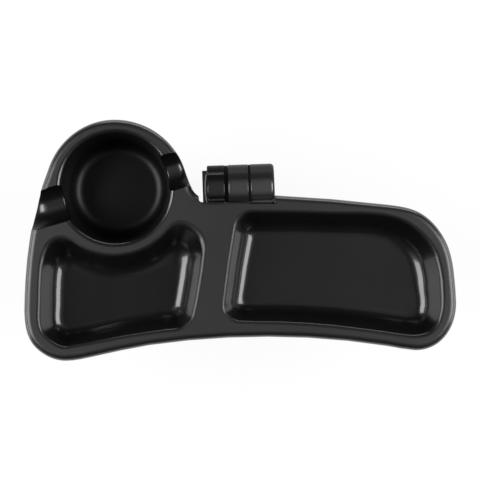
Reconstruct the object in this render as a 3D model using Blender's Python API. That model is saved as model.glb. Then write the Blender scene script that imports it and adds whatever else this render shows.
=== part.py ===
"""Stroller snack tray on a tilting bar clamp, in metres, +Z up.

The origin is the centre of the gripped bar. +X runs along the bar, -Y points to the child.
"""
import math

import bmesh
import bpy
from mathutils import Matrix, Vector

for old in list(bpy.data.objects):
    bpy.data.objects.remove(old, do_unlink=True)

# Gaps that every fit uses
SEAT_GAP = 0.0003
RUN_GAP = 0.0004

# The bar that the clamp grips
BAR_DIAMETER = 0.032
LARGEST_BAR = 0.038

# Hinge axis, measured from the bar's centre
HINGE_FORWARD = 0.010
HINGE_HEIGHT = 0.060

# Hinge barrel, seen along X from left to right
KNUCKLE_RADIUS = 0.0183
CLAMP_KNUCKLE_LEFT = -0.0080
CLAMP_KNUCKLE_WIDTH = 0.0162
FRICTION_WASHER_THICKNESS = 0.0010
WASHER_STEP = 0.0011
TRAY_KNUCKLE_WIDTH = 0.0187
KNUCKLE_EDGE = 0.0016
KNUCKLE_END_EDGE = 0.0038

# Tilt bolt, its washer and its nut
BOLT_DIAMETER = 0.008
BOLT_HEAD_FLATS = 0.013
BOLT_HEAD_HEIGHT = 0.0053
BOLT_FLAT_DEPTH = 0.0009
NUT_HEIGHT = 0.0065
THRUST_WASHER_THICKNESS = 0.0016
THRUST_WASHER_STEP = 0.0025

# Hand knobs, one on the tilt bolt and one on the clamp screw
KNOB_RADIUS = 0.0180
KNOB_LENGTH = 0.0140
KNOB_LOBES = 5
KNOB_GROOVE_RADIUS = 0.0022
KNOB_EDGE = 0.0012
KNOB_CAP_RADIUS = 0.0125
KNOB_CAP_DOME = 0.0022
KNOB_CAP_FLAT = 0.0019
KNOB_CAP_RECESS = 0.0020

# Tray shell
TRAY_LENGTH = 0.3388
TRAY_DEPTH = 0.1893
DECK_WALL = 0.0028
SKIRT_HEIGHT = 0.0220
SKIRT_DRAFT = math.radians(1.0)
SKIRT_EDGE = 0.0056

# Cup well and its two handle notches
CUP_RIM_RADIUS = 0.0462
CUP_FLOOR_RADIUS = 0.0285
CUP_DEPTH = 0.0520
CUP_RIM_EDGE = 0.0030
CUP_FLOOR_EDGE = 0.0100
NOTCH_ANGLE = math.radians(14.0)
NOTCH_RADIUS = 0.0142
NOTCH_CENTRE_DEPTH = 0.0005

# Snack pockets
POCKET_DEPTH = 0.0240
POCKET_RUN = 0.0203
POCKET_RIM_EDGE = 0.0038
POCKET_FLOOR_EDGE = 0.0118

# Cut-out that lets the barrel through the tray's back edge, measured from the hinge axis
CUT_OUT_KNOB_GAP = 0.0048
CUT_OUT_KNUCKLE_GAP = 0.0005
CUT_OUT_LEFT_DEPTH = 0.0106
CUT_OUT_RIGHT_DEPTH = 0.0130
CUT_OUT_FLARE = 0.0018
CUT_OUT_LEFT_FILLET = 0.0032
CUT_OUT_RIGHT_FILLET = 0.0010

# Bracket under the deck and its screws
BOSS_RADIUS = 0.0043
BOSS_HEIGHT = 0.0080
BRACKET_THICKNESS = 0.0042
BEAM_WALL = 0.0024
BEAM_SLOPE = 0.0036
TONGUE_WIDTH = 0.0130
TONGUE_LEFT = 0.0170
RIDGE_HEIGHT = 0.0166
SCREW_COUNT = 3
SCREW_SPACING = 0.0200
SCREW_INSET = 0.0070
SCREW_RADIUS = 0.0018
SCREW_LENGTH = 0.0125
SCREW_HEAD_RADIUS = 0.0036
SCREW_HEAD_HEIGHT = 0.0024

# Bar clamp
CLAMP_WIDTH = 0.0576
CLAMP_WALL = 0.0062
LOWER_ARM_THICKNESS = 0.0100
ARM_REACH = 0.0175
PAD_THICKNESS = 0.0025
PAD_INSET = 0.0020
CLAMP_EDGE = 0.0009
NECK_WIDTH = 0.0220
JAW_CROWN = 0.0080
JAW_WEB = 0.0040
JAW_OPENING_TRAVEL = 0.0060
JAW_CLOSING_TRAVEL = 0.0100
SPINDLE_DIAMETER = 0.008
COLLAR_RADIUS = 0.0065
COLLAR_HEIGHT = 0.0025
INSERT_RADIUS = 0.0065
INSERT_FLANGE_RADIUS = 0.0085
INSERT_FLANGE_THICKNESS = 0.0016
CLIP_THICKNESS = 0.0009
PIN_RADIUS = 0.0012

# Places that follow from the sizes
DECK_TOP = HINGE_HEIGHT + KNUCKLE_RADIUS
BAR_RADIUS = BAR_DIAMETER / 2
SADDLE_RADIUS = LARGEST_BAR / 2 + SEAT_GAP
SADDLE_CENTRE = BAR_RADIUS - SADDLE_RADIUS
CLAMP_KNUCKLE_RIGHT = CLAMP_KNUCKLE_LEFT + CLAMP_KNUCKLE_WIDTH
TRAY_KNUCKLE_LEFT = CLAMP_KNUCKLE_RIGHT + FRICTION_WASHER_THICKNESS + 2 * SEAT_GAP
TRAY_KNUCKLE_RIGHT = TRAY_KNUCKLE_LEFT + TRAY_KNUCKLE_WIDTH
THRUST_WASHER_RIGHT = CLAMP_KNUCKLE_LEFT - SEAT_GAP
THRUST_WASHER_LEFT = THRUST_WASHER_RIGHT - THRUST_WASHER_THICKNESS
KNOB_RIGHT = THRUST_WASHER_LEFT - SEAT_GAP
KNOB_LEFT = KNOB_RIGHT - KNOB_LENGTH
BORE_RADIUS = BOLT_DIAMETER / 2 + SEAT_GAP
JAW_WEB_TOP = -SADDLE_CENTRE - SADDLE_RADIUS - PAD_THICKNESS - SEAT_GAP - JAW_CROWN + JAW_WEB
JAW_BOTTOM = JAW_WEB_TOP - JAW_WEB
COLLAR_BOTTOM = JAW_BOTTOM - SEAT_GAP - COLLAR_HEIGHT
LOWER_ARM_TOP = COLLAR_BOTTOM - JAW_OPENING_TRAVEL - SEAT_GAP - INSERT_FLANGE_THICKNESS / 2
LOWER_ARM_BOTTOM = LOWER_ARM_TOP - LOWER_ARM_THICKNESS
CLAMP_KNOB_TOP = LOWER_ARM_BOTTOM - JAW_CLOSING_TRAVEL - 4 * SEAT_GAP
UPPER_ARM_TOP = BAR_RADIUS + PAD_THICKNESS + SEAT_GAP + CLAMP_WALL
SPINE_INNER = LARGEST_BAR / 2 + 2 * RUN_GAP
SPINE_OUTER = SPINE_INNER + CLAMP_WALL
CLAMP_LEFT = -CLAMP_WIDTH / 2
HINGE_AXIS = (0.0, HINGE_FORWARD, HINGE_HEIGHT)
FRICTION_WASHER_RADIUS = KNUCKLE_RADIUS - WASHER_STEP
THRUST_WASHER_RADIUS = KNUCKLE_RADIUS - THRUST_WASHER_STEP
CUT_OUT_LEFT = KNOB_LEFT - KNOB_CAP_DOME - CUT_OUT_KNOB_GAP
CUT_OUT_RIGHT = TRAY_KNUCKLE_RIGHT + CUT_OUT_KNUCKLE_GAP
HEX_POCKET_FLATS = BOLT_HEAD_FLATS + 2 * SEAT_GAP
CAP_SEAT = KNOB_LEFT + KNOB_CAP_RECESS
PAD_SEAT_RADIUS = SADDLE_RADIUS + PAD_THICKNESS + SEAT_GAP
CLIP_GROOVE = JAW_WEB_TOP + SEAT_GAP / 2
SPINDLE_TOP = JAW_WEB_TOP + JAW_CROWN - JAW_WEB - 2 * SEAT_GAP
SPINDLE_FOOT = CLAMP_KNOB_TOP - KNOB_LENGTH * 0.8
PIN_HEIGHT = CLAMP_KNOB_TOP - KNOB_LENGTH * 0.45
# Heights and reaches of the bracket, measured from the hinge axis
BRACKET_CLEARANCE = KNUCKLE_RADIUS + 2 * RUN_GAP
UNDER_DECK = KNUCKLE_RADIUS - DECK_WALL - SEAT_GAP
TONGUE_TOP = KNUCKLE_RADIUS - DECK_WALL - BOSS_HEIGHT - SEAT_GAP
BRACKET_TAIL = TONGUE_TOP - BRACKET_THICKNESS

# Outlines seen from above, from the hinge axis, each point with its heading in degrees.
# x is in thousandths of the tray's length and y in thousandths of its depth.
SKIRT_FOOT = [
    (-280.1, 299.5, 178), (-435.6, 113.7, 248), (-476.4, -97.5, 257), (-500.0, -354.7, 265),
    (-504.7, -471.0, 268), (-481.1, -634.8, 313), (-411.6, -694.1, 358), (-346.2, -680.0, 10),
    (-218.9, -641.6, 6.5), (57.7, -623.9, 358), (330.6, -679.1, 349), (393.3, -700.3, 355),
    (460.9, -657.7, 44), (495.2, -508.4, 88), (493.2, -408.2, 93), (470.3, -231.6, 119),
    (413.2, -124.5, 152), (339.9, -90.3, 171), (87.6, -37.2, 175), (-38.6, -44.3, 178),
    (-93.3, -28.0, 143), (-108.0, 4.7, 114), (-124.9, 92.9, 107)]
LARGE_RIM = [
    (30.1, -92.7, 178), (-15.8, -155.9, 256.5), (-45.8, -454.2, 260), (-42.0, -526.2, 310),
    (-10.4, -562.8, 354), (83.1, -572.7, 357), (206.9, -596.1, 353), (328.5, -632.2, 351),
    (385.6, -649.5, 356), (442.2, -624.4, 43), (464.5, -543.4, 76), (468.8, -441.0, 89),
    (458.8, -313.4, 104), (420.9, -206.3, 135), (361.8, -139.1, 161), (216.3, -111.3, 176)]
LARGE_FLOOR = [
    (51.9, -208.0, 178), (35.5, -221.8, 257), (8.1, -453.7, 261), (12.3, -477.0, 313),
    (27.7, -477.1, 0), (86.6, -476.1, 358), (212.7, -492.0, 353.5), (313.2, -516.8, 352),
    (381.0, -540.3, 354), (403.7, -533.3, 46), (405.6, -507.5, 87), (397.1, -414.7, 97),
    (391.4, -356.4, 104), (374.3, -295.8, 137), (340.9, -249.5, 162), (217.6, -220.6, 175)]
SMALL_RIM = [
    (-411.4, -170.9, 178), (-452.5, -215.6, 243), (-467.9, -312.4, 263), (-473.0, -435.7, 267.5),
    (-459.1, -594.9, 316), (-406.2, -644.4, 5), (-284.3, -611.2, 7.5), (-180.3, -590.1, 6),
    (-134.6, -575.6, 38), (-108.7, -524.0, 73), (-94.7, -418.1, 77.5), (-78.3, -254.2, 83),
    (-88.3, -175.3, 126), (-136.4, -126.6, 178), (-182.4, -181.9, 223), (-289.8, -253.9, 178),
    (-378.0, -196.3, 141)]
SMALL_FLOOR = [
    (-404.7, -326.4, 205), (-411.9, -349.0, 264), (-413.2, -401.8, 268), (-414.6, -473.0, 268),
    (-412.6, -542.3, 313), (-401.3, -547.6, 1), (-287.1, -512.1, 8.5), (-192.9, -489.4, 6),
    (-168.7, -481.2, 38), (-162.0, -462.8, 78), (-155.1, -396.1, 80), (-150.3, -341.9, 83),
    (-153.3, -314.8, 126), (-164.9, -310.8, 204), (-189.5, -325.2, 207), (-297.0, -366.5, 178),
    (-382.8, -333.2, 154)]
# The middle of the cup well
CUP_PLACE = (-283.3, 14.3)
# The end of the tongue, on the strip of deck between the pockets
TONGUE_END = (-76.8, -369.8)
# Largest turn between two points of an outline, in degrees
TURN_STEP = 12
# Roughness of each kind of finish
ROUGHNESS = {"satin": 0.42, "matt": 0.60, "gloss": 0.30, "metal": 0.35, "rubber": 0.85}


def material(name, colour, roughness, metallic=0.0):
    """A plain Principled material for one sub-part."""
    made = bpy.data.materials.new(name)
    made.use_nodes = True
    shader = made.node_tree.nodes["Principled BSDF"]
    shader.inputs["Base Color"].default_value = (*colour, 1.0)
    shader.inputs["Roughness"].default_value = roughness
    shader.inputs["Metallic"].default_value = metallic
    return made


# Finishes, each with its name, colour, roughness and metallic share
BLACK_SHELL = ("satin_black", (0.017, 0.017, 0.018), ROUGHNESS["satin"])
BLACK_HINGE = ("matt_black", (0.026, 0.026, 0.028), ROUGHNESS["matt"])
BLACK_KNOB = ("gloss_black", (0.009, 0.009, 0.010), ROUGHNESS["gloss"])
STEEL = ("zinc_steel", (0.55, 0.56, 0.58), ROUGHNESS["metal"], 1.0)
BRASS = ("brass", (0.72, 0.52, 0.22), ROUGHNESS["metal"], 1.0)
RUBBER = ("rubber", (0.030, 0.030, 0.031), ROUGHNESS["rubber"])


def place_node(name, bm, finish, location=(0.0, 0.0, 0.0), smooth_angle=32.0):
    """Turn a bmesh into a named object with its own material."""
    bmesh.ops.recalc_face_normals(bm, faces=bm.faces)
    mesh = bpy.data.meshes.new(name)
    bm.to_mesh(mesh)
    bm.free()
    mesh.shade_smooth()
    mesh.set_sharp_from_angle(angle=math.radians(smooth_angle))
    node = bpy.data.objects.new(name, mesh)
    bpy.context.collection.objects.link(node)
    node.location = location
    node.data.materials.append(material(name + "_" + finish[0], *finish[1:]))
    return node


def helper(name, bm, location=(0.0, 0.0, 0.0)):
    """A shape that is only added to or cut from a node."""
    bmesh.ops.recalc_face_normals(bm, faces=bm.faces)
    mesh = bpy.data.meshes.new(name)
    bm.to_mesh(mesh)
    bm.free()
    guide = bpy.data.objects.new(name, mesh)
    bpy.context.collection.objects.link(guide)
    guide.location = location
    guide.hide_render = True
    guide.display_type = "WIRE"
    return guide


def combine(node, guide, operation):
    """Join, cut or clip a node with a guide shape."""
    change = node.modifiers.new(operation.lower() + "_" + guide.name, "BOOLEAN")
    change.operation = operation
    change.solver = "EXACT"
    change.object = guide
    guide.parent = node
    guide.matrix_parent_inverse = Matrix.Translation(node.location).inverted()


def join(node, *guides):
    for guide in guides:
        combine(node, guide, "UNION")


def cut(node, *guides):
    for guide in guides:
        combine(node, guide, "DIFFERENCE")


def loft(rings):
    """A closed solid grown from the first ring by extruding its cap through the others."""
    bm = bmesh.new()
    order = [bm.verts.new(point) for point in rings[0]]
    cap = bm.faces.new(order)
    for ring in rings[1:]:
        spent = cap if ring is not rings[1] else None
        grown = bmesh.ops.extrude_face_region(bm, geom=[cap])["geom"]
        cap = next(item for item in grown if isinstance(item, bmesh.types.BMFace))
        if spent:
            bmesh.ops.delete(bm, geom=[spent], context="FACES_ONLY")
        below = {vert: index for index, vert in enumerate(order)}
        lifted = [None] * len(order)
        for vert in cap.verts:
            near = [edge.other_vert(vert) for edge in vert.link_edges]
            foot = next(other for other in near if other in below)
            lifted[below[foot]] = vert
        for vert, point in zip(lifted, ring):
            vert.co = point
        order = lifted
    return bm


def facing(across, along, height, axis):
    """A point of a section that faces the axis, at a height along it."""
    return Vector((across, along, height)) if axis == "Z" else Vector((height, across, along))


def lathe(profile, steps, axis="Z"):
    """A turned solid from (radius, height) pairs, spun about the axis."""
    rings = []
    for radius, height in profile:
        ring = []
        for step in range(steps):
            angle = 2 * math.pi * (step + 0.5) / steps
            ring.append(facing(radius * math.cos(angle), radius * math.sin(angle), height, axis))
        rings.append(ring)
    return loft(rings)


def prism(outline, low, high, axis="Z"):
    """An outline extruded between two heights along an axis."""
    return loft([[facing(a, b, height, axis) for a, b in outline] for height in (low, high)])


def box(low, high):
    bm = bmesh.new()
    bmesh.ops.create_cube(bm, size=1.0)
    size = Vector(high) - Vector(low)
    bmesh.ops.scale(bm, vec=size, verts=bm.verts)
    bmesh.ops.translate(bm, vec=(Vector(low) + Vector(high)) / 2, verts=bm.verts)
    return bm


def arc(centre, radius, start, end, steps):
    """Points along an arc, in degrees."""
    turns = [math.radians(start + (end - start) * step / steps) for step in range(steps + 1)]
    return [(centre[0] + radius * math.cos(turn), centre[1] + radius * math.sin(turn)) for turn in turns]


def rounded(corners, steps=4):
    """A polygon whose corners (x, y, fillet radius) are rounded."""
    outline = []
    for index, (x, y, radius) in enumerate(corners):
        here = Vector((x, y))
        if radius == 0:
            outline.append(here)
            continue
        back = (Vector(corners[index - 1][:2]) - here).normalized()
        ahead = (Vector(corners[(index + 1) % len(corners)][:2]) - here).normalized()
        half = back.angle(ahead) / 2
        centre = here + (back + ahead).normalized() * (radius / math.sin(half))
        start = here + back * (radius / math.tan(half)) - centre
        end = here + ahead * (radius / math.tan(half)) - centre
        turn = start.angle_signed(end)
        for step in range(steps + 1):
            outline.append(centre + Matrix.Rotation(-turn * step / steps, 2) @ start)
    return outline


def headed_loop(stations, turn_step):
    """A smooth closed loop through the stations, with a count of points for each stretch."""
    counts = []
    for index, station in enumerate(stations):
        turn = (stations[(index + 1) % len(stations)][2] - station[2] + 180) % 360 - 180
        counts.append(max(1, math.ceil(abs(turn) / turn_step)))
    return through(stations, counts), counts


def on_plan(x, y):
    """A point of the plan in metres, from thousandths of the tray's length and depth."""
    return Vector((x * TRAY_LENGTH, y * TRAY_DEPTH)) / 1000


def through(stations, counts):
    """Near-arcs from station to station, each with its count of points."""
    loop = []
    for index, (x, y, heading) in enumerate(stations):
        next_x, next_y, next_heading = stations[(index + 1) % len(stations)]
        turn = math.radians((next_heading - heading + 180) % 360 - 180)
        start, end = on_plan(x, y), on_plan(next_x, next_y)
        reach = (end - start).length / (3 * math.cos(turn / 4) ** 2)
        out = Vector((math.cos(math.radians(heading)), math.sin(math.radians(heading)))) * reach
        into = Vector((math.cos(math.radians(next_heading)), math.sin(math.radians(next_heading)))) * reach
        for step in range(counts[index]):
            t = step / counts[index]
            loop.append((1 - t) ** 3 * start + 3 * t * (1 - t) ** 2 * (start + out)
                        + 3 * t ** 2 * (1 - t) * (end - into) + t ** 3 * end)
    return loop


def inset_loop(loop, distance):
    """The loop moved inwards along its normals, for a loop that runs anticlockwise."""
    moved = []
    for index, point in enumerate(loop):
        along = (loop[(index + 1) % len(loop)] - loop[index - 1]).normalized()
        moved.append(point + Vector((-along.y, along.x)) * distance)
    return moved


def on_tray(loop, height):
    """Points of a loop as places in the part's frame, with height from the deck's top."""
    return [Vector((point.x, point.y + HINGE_FORWARD, DECK_TOP + height)) for point in loop]


def wall_lean(run, depth, rim_edge, floor_edge):
    """How far a well's straight wall leans from upright, between its rim edge and its floor edge."""
    drop = depth - rim_edge - floor_edge
    return math.atan2(run, drop) - math.asin((rim_edge + floor_edge) / math.hypot(run, drop))


def well_section(run, depth, rim_edge, floor_edge, steps=3):
    """Distance in from the rim and height of a well's wall: rim edge, straight wall, floor edge."""
    sweep = math.pi / 2 - wall_lean(run, depth, rim_edge, floor_edge)
    section = []
    for step in range(steps + 1):
        turn = sweep * step / steps
        section.append((rim_edge * math.sin(turn), -rim_edge * (1 - math.cos(turn))))
    for step in range(steps + 2):
        turn = sweep * (1 - step / (steps + 1))
        section.append((run - floor_edge * math.sin(turn), -depth + floor_edge * (1 - math.cos(turn))))
    return section


def well_back(run, depth, rim_edge, floor_edge, steps=3):
    """The same section one wall thickness further out, without its rim edge."""
    lean = wall_lean(run, depth, rim_edge, floor_edge)
    edge = floor_edge + DECK_WALL
    section = []
    for step in range(steps + 1):
        turn = (math.pi / 2 - lean) * (1 - step / steps)
        section.append((run - edge * math.sin(turn), -depth + floor_edge - edge * math.cos(turn)))
    inward, height = section[0]
    top = -DECK_WALL / 2
    return [(inward - (top - height) * math.tan(lean), top), *section]


def blended(rim, floor, share, height):
    """The ring that lies a share of the way from the rim loop to the floor loop."""
    return on_tray([a.lerp(b, share) for a, b in zip(rim, floor)], height)


def pocket(rim_stations, floor_stations, name):
    """The cutter and the outer body of one pocket."""
    rim, counts = headed_loop(rim_stations, TURN_STEP)
    floor = through(floor_stations, counts)
    shape = (POCKET_RUN, POCKET_DEPTH, POCKET_RIM_EDGE, POCKET_FLOOR_EDGE)
    inner = [(0.0, POCKET_RIM_EDGE), *well_section(*shape)]
    hollow = loft([blended(rim, floor, inward / POCKET_RUN, height) for inward, height in inner])
    body = loft([blended(rim, floor, inward / POCKET_RUN, height) for inward, height in well_back(*shape)])
    return helper(name + "_hollow", hollow), helper(name + "_body", body)


def skirt_ring(foot, inward, height):
    return on_tray(inset_loop(foot, inward), height)


def tray_blank(foot, wall):
    """The tray's outer form, or the hollow one wall thickness inside it."""
    lean = math.tan(SKIRT_DRAFT)
    edge = SKIRT_EDGE
    if wall == 0:
        rings = [skirt_ring(foot, 0.0, -SKIRT_HEIGHT)]
        shoulder = edge * (1 - math.sin(SKIRT_DRAFT))
        reach = (SKIRT_HEIGHT - shoulder) * lean
        for step in range(4):
            turn = (math.pi / 2 - SKIRT_DRAFT) * step / 3
            inward = reach + edge * (math.cos(SKIRT_DRAFT) - math.cos(SKIRT_DRAFT + turn))
            rings.append(skirt_ring(foot, inward, -edge * (1 - math.sin(SKIRT_DRAFT + turn))))
        return loft(rings)
    side = wall / math.cos(SKIRT_DRAFT)
    return loft([skirt_ring(foot, side - wall * lean, -SKIRT_HEIGHT - wall),
                 skirt_ring(foot, side + (SKIRT_HEIGHT - wall) * lean, -wall)])


def cup_form(section, steps=44):
    """The cup well's hollow or its outer body, turned about the well's middle."""
    bm = lathe([(CUP_RIM_RADIUS - inward, height) for inward, height in section], steps)
    bmesh.ops.rotate(bm, matrix=Matrix.Rotation(NOTCH_ANGLE, 3, "Z"), verts=bm.verts)
    bmesh.ops.translate(bm, vec=on_tray([on_plan(*CUP_PLACE)], 0.0)[0], verts=bm.verts)
    return bm


def notch_bar(name, radius):
    """A half-round bar across the cup well, on the line of the two handle notches."""
    length = CUP_RIM_RADIUS * 1.6
    section = arc((0.0, -NOTCH_CENTRE_DEPTH), radius, 180, 360, 12)
    section += [(radius, CUP_RIM_EDGE), (-radius, CUP_RIM_EDGE)]
    bm = prism(section, -length, length, axis="X")
    bmesh.ops.rotate(bm, matrix=Matrix.Rotation(NOTCH_ANGLE, 3, "Z"), verts=bm.verts)
    bmesh.ops.translate(bm, vec=on_tray([on_plan(*CUP_PLACE)], 0.0)[0], verts=bm.verts)
    return helper(name, bm)


def tongue_line():
    """The tongue's centre line, from inside the cross beam to its free end."""
    return Vector((-TONGUE_LEFT, -BRACKET_CLEARANCE - BEAM_WALL * 2 / 3)), on_plan(*TONGUE_END)


def screw_places():
    """Where the bracket's screws stand along the tongue, as places on the tray."""
    start, end = tongue_line()
    along = (end - start).normalized()
    points = [start + along * (SCREW_INSET + SCREW_SPACING * index) for index in range(SCREW_COUNT)]
    return [(point.x, point.y + HINGE_FORWARD, 0.0) for point in points]


def make_tray_shell():
    foot, counts = headed_loop(SKIRT_FOOT, TURN_STEP)
    shell = place_node("tray_shell", tray_blank(foot, 0), BLACK_SHELL)
    underside = helper("underside", tray_blank(foot, DECK_WALL))
    combine(underside, notch_bar("channel_body", NOTCH_RADIUS + DECK_WALL), "DIFFERENCE")
    cut(shell, underside)
    large_hollow, large_body = pocket(LARGE_RIM, LARGE_FLOOR, "large_pocket")
    small_hollow, small_body = pocket(SMALL_RIM, SMALL_FLOOR, "small_pocket")
    cup_shape = (CUP_RIM_RADIUS - CUP_FLOOR_RADIUS, CUP_DEPTH, CUP_RIM_EDGE, CUP_FLOOR_EDGE)
    cup_hollow = helper("cup_hollow", cup_form([(0.0, CUP_RIM_EDGE), *well_section(*cup_shape)]))
    cup_body = helper("cup_body", cup_form(well_back(*cup_shape)))
    join(shell, large_body, small_body, cup_body)
    boss_foot = DECK_TOP - DECK_WALL - BOSS_HEIGHT
    for index, place in enumerate(screw_places()):
        join(shell, rod_z(f"boss_{index + 1}", BOSS_RADIUS, boss_foot, DECK_TOP - DECK_WALL / 2, 20, place))
    cut(shell, large_hollow, small_hollow, cup_hollow)
    cut(shell, notch_bar("notch_cut", NOTCH_RADIUS))
    hole_top = boss_foot + SCREW_LENGTH - BRACKET_THICKNESS + SEAT_GAP
    for index, place in enumerate(screw_places()):
        radius = SCREW_RADIUS + SEAT_GAP
        cut(shell, rod_z(f"pilot_{index + 1}", radius, boss_foot - BOSS_RADIUS, hole_top, 12, place))
    left, right, beyond = CUT_OUT_LEFT, CUT_OUT_RIGHT, KNUCKLE_RADIUS
    corners = [(left - CUT_OUT_FLARE, beyond, 0), (left, -CUT_OUT_LEFT_DEPTH, CUT_OUT_LEFT_FILLET),
               (right, -CUT_OUT_RIGHT_DEPTH, CUT_OUT_RIGHT_FILLET), (right, beyond, 0)]
    low, high = DECK_TOP - SKIRT_HEIGHT - SKIRT_EDGE, DECK_TOP + SKIRT_EDGE
    gap = [(x, y + HINGE_FORWARD) for x, y in rounded(corners)]
    opening = prism(gap, low, high)
    inner = HINGE_FORWARD - BRACKET_CLEARANCE
    skirt_gap = box((left, inner, low), (right, HINGE_FORWARD + beyond, DECK_TOP - DECK_WALL))
    cut(shell, helper("barrel_cut_out", opening), helper("skirt_gap", skirt_gap))
    return shell


def ease_edges(node, width):
    """Round the sharp edges of a node a little."""
    rounding = node.modifiers.new("eased_edges", "BEVEL")
    rounding.width = width
    rounding.segments = 2
    rounding.limit_method = "ANGLE"
    rounding.angle_limit = math.radians(40.0)


def hex_outline(flats):
    return arc((0.0, 0.0), flats / 2 / math.cos(math.pi / 6), 30, 330, 5)


def barrel(left, right, radius, left_edge, right_edge, steps=40):
    """A knuckle turned about X, its ends eased by small roundings."""
    profile = []
    for step in range(3):
        rise, out = math.sin(math.pi / 4 * step), 1 - math.cos(math.pi / 4 * step)
        profile.append((radius - left_edge * (1 - rise), left + left_edge * out))
    for step in range(3):
        rise, out = 1 - math.sin(math.pi / 4 * step), 1 - math.cos(math.pi / 4 * step)
        profile.append((radius - right_edge * out, right - right_edge * rise))
    return lathe(profile, steps, axis="X")


def rod_x(name, radius, left, right, steps=24):
    """A round cutter along the hinge axis."""
    return helper(name, lathe([(radius, left), (radius, right)], steps, axis="X"), HINGE_AXIS)


def rod_z(name, radius, low, high, steps=24, place=(0.0, 0.0, 0.0)):
    """A round upright cutter."""
    return helper(name, lathe([(radius, low), (radius, high)], steps), place)


def hex_x(name, flats, left, right):
    """A six-sided cutter along the hinge axis."""
    return helper(name, prism(hex_outline(flats), left, right, axis="X"), HINGE_AXIS)


def bracket_beam():
    """The cross beam under the deck, hollowed round the barrel."""
    low_turn = math.degrees(math.asin(BRACKET_TAIL / BRACKET_CLEARANCE))
    high_turn = math.degrees(math.asin(UNDER_DECK / BRACKET_CLEARANCE))
    outer = -BRACKET_CLEARANCE - BEAM_WALL
    section = arc((0.0, 0.0), BRACKET_CLEARANCE, 180 - high_turn, 180 - low_turn, 5)
    section += [(outer, BRACKET_TAIL), (outer, TONGUE_TOP), (outer + BEAM_SLOPE, UNDER_DECK)]
    left = -TONGUE_LEFT - TONGUE_WIDTH / 2
    return prism(section, left, TRAY_KNUCKLE_RIGHT - KNUCKLE_END_EDGE, axis="X")


def bracket_root():
    """The block that ties the knuckle to the beam, with a low ridge along the deck's edge."""
    ridge = -KNUCKLE_RADIUS * 0.6
    heel = ridge * 0.7
    back = -BRACKET_CLEARANCE - BEAM_WALL / 2
    section = [(heel, BRACKET_TAIL), (back, BRACKET_TAIL), (back, TONGUE_TOP),
               (back + BEAM_SLOPE, UNDER_DECK), (ridge, UNDER_DECK), (ridge, RIDGE_HEIGHT),
               (heel, RIDGE_HEIGHT)]
    return prism(section, TRAY_KNUCKLE_LEFT + KNUCKLE_EDGE, TRAY_KNUCKLE_RIGHT - KNUCKLE_END_EDGE, axis="X")


def bracket_tongue():
    """The strip that lies under the deck between the two pockets."""
    start, end = tongue_line()
    along = (end - start).normalized()
    side = Vector((-along.y, along.x)) * TONGUE_WIDTH / 2
    plan = [start + side, start - side, end - side, end + side]
    return prism([(p.x, p.y) for p in plan], BRACKET_TAIL, TONGUE_TOP)


def make_hinge_bracket():
    left, right = TRAY_KNUCKLE_LEFT, TRAY_KNUCKLE_RIGHT
    knuckle = barrel(left, right, KNUCKLE_RADIUS, KNUCKLE_EDGE, KNUCKLE_END_EDGE)
    bracket = place_node("hinge_bracket", knuckle, BLACK_HINGE, HINGE_AXIS)
    join(bracket, helper("cross_beam", bracket_beam(), HINGE_AXIS),
         helper("beam_root", bracket_root(), HINGE_AXIS), helper("tongue", bracket_tongue(), HINGE_AXIS))
    pocket_left = right - BOLT_HEAD_HEIGHT - 2 * SEAT_GAP
    cut(bracket, rod_x("bracket_bore", BORE_RADIUS, left - KNUCKLE_EDGE, right),
        hex_x("head_pocket", HEX_POCKET_FLATS, pocket_left, right + KNUCKLE_EDGE))
    radius = SCREW_RADIUS + SEAT_GAP
    for index, place in enumerate(screw_places()):
        cut(bracket, rod_z(f"screw_hole_{index + 1}", radius, HINGE_HEIGHT, DECK_TOP, 12, place))


def make_bracket_screws():
    underside = HINGE_HEIGHT + BRACKET_TAIL - SEAT_GAP
    profile = [(SCREW_HEAD_RADIUS * 0.7, -SCREW_HEAD_HEIGHT), (SCREW_HEAD_RADIUS, -SCREW_HEAD_HEIGHT * 0.6),
               (SCREW_HEAD_RADIUS, 0.0), (SCREW_RADIUS, 0.0), (SCREW_RADIUS, SCREW_LENGTH - SCREW_RADIUS),
               (SCREW_RADIUS * 0.4, SCREW_LENGTH)]
    for index, place in enumerate(screw_places()):
        place_node(f"bracket_screw_{index + 1}", lathe(profile, 16), STEEL, (*place[:2], underside))


def keyed_outline(radius, depth, steps=24):
    """A round outline with one flat, as on a keyed shaft."""
    half = math.degrees(math.acos((radius - depth) / radius))
    return arc((0.0, 0.0), radius, 90 + half, 450 - half, steps)


def make_tilt_bolt():
    radius = BOLT_DIAMETER / 2
    head_left = TRAY_KNUCKLE_RIGHT - BOLT_HEAD_HEIGHT - SEAT_GAP
    tip = CAP_SEAT + SEAT_GAP
    profile = [(radius * 0.85, tip), (radius, tip + radius * 0.3),
               (radius, head_left + BOLT_HEAD_HEIGHT / 2)]
    bolt = place_node("tilt_bolt", lathe(profile, 24, axis="X"), STEEL, HINGE_AXIS)
    join(bolt, hex_x("bolt_head", BOLT_HEAD_FLATS, head_left, head_left + BOLT_HEAD_HEIGHT))
    flat = box((tip - radius, -radius, radius - BOLT_FLAT_DEPTH), (CLAMP_KNUCKLE_LEFT, radius, 2 * radius))
    cut(bolt, helper("bolt_flat", flat, HINGE_AXIS))


def make_friction_washer():
    left = CLAMP_KNUCKLE_RIGHT + SEAT_GAP
    right = left + FRICTION_WASHER_THICKNESS
    disc = lathe([(FRICTION_WASHER_RADIUS, left), (FRICTION_WASHER_RADIUS, right)], 40, axis="X")
    washer = place_node("friction_washer", disc, RUBBER, HINGE_AXIS)
    cut(washer, rod_x("friction_washer_bore", BORE_RADIUS, left - SEAT_GAP, right + SEAT_GAP))


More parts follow.
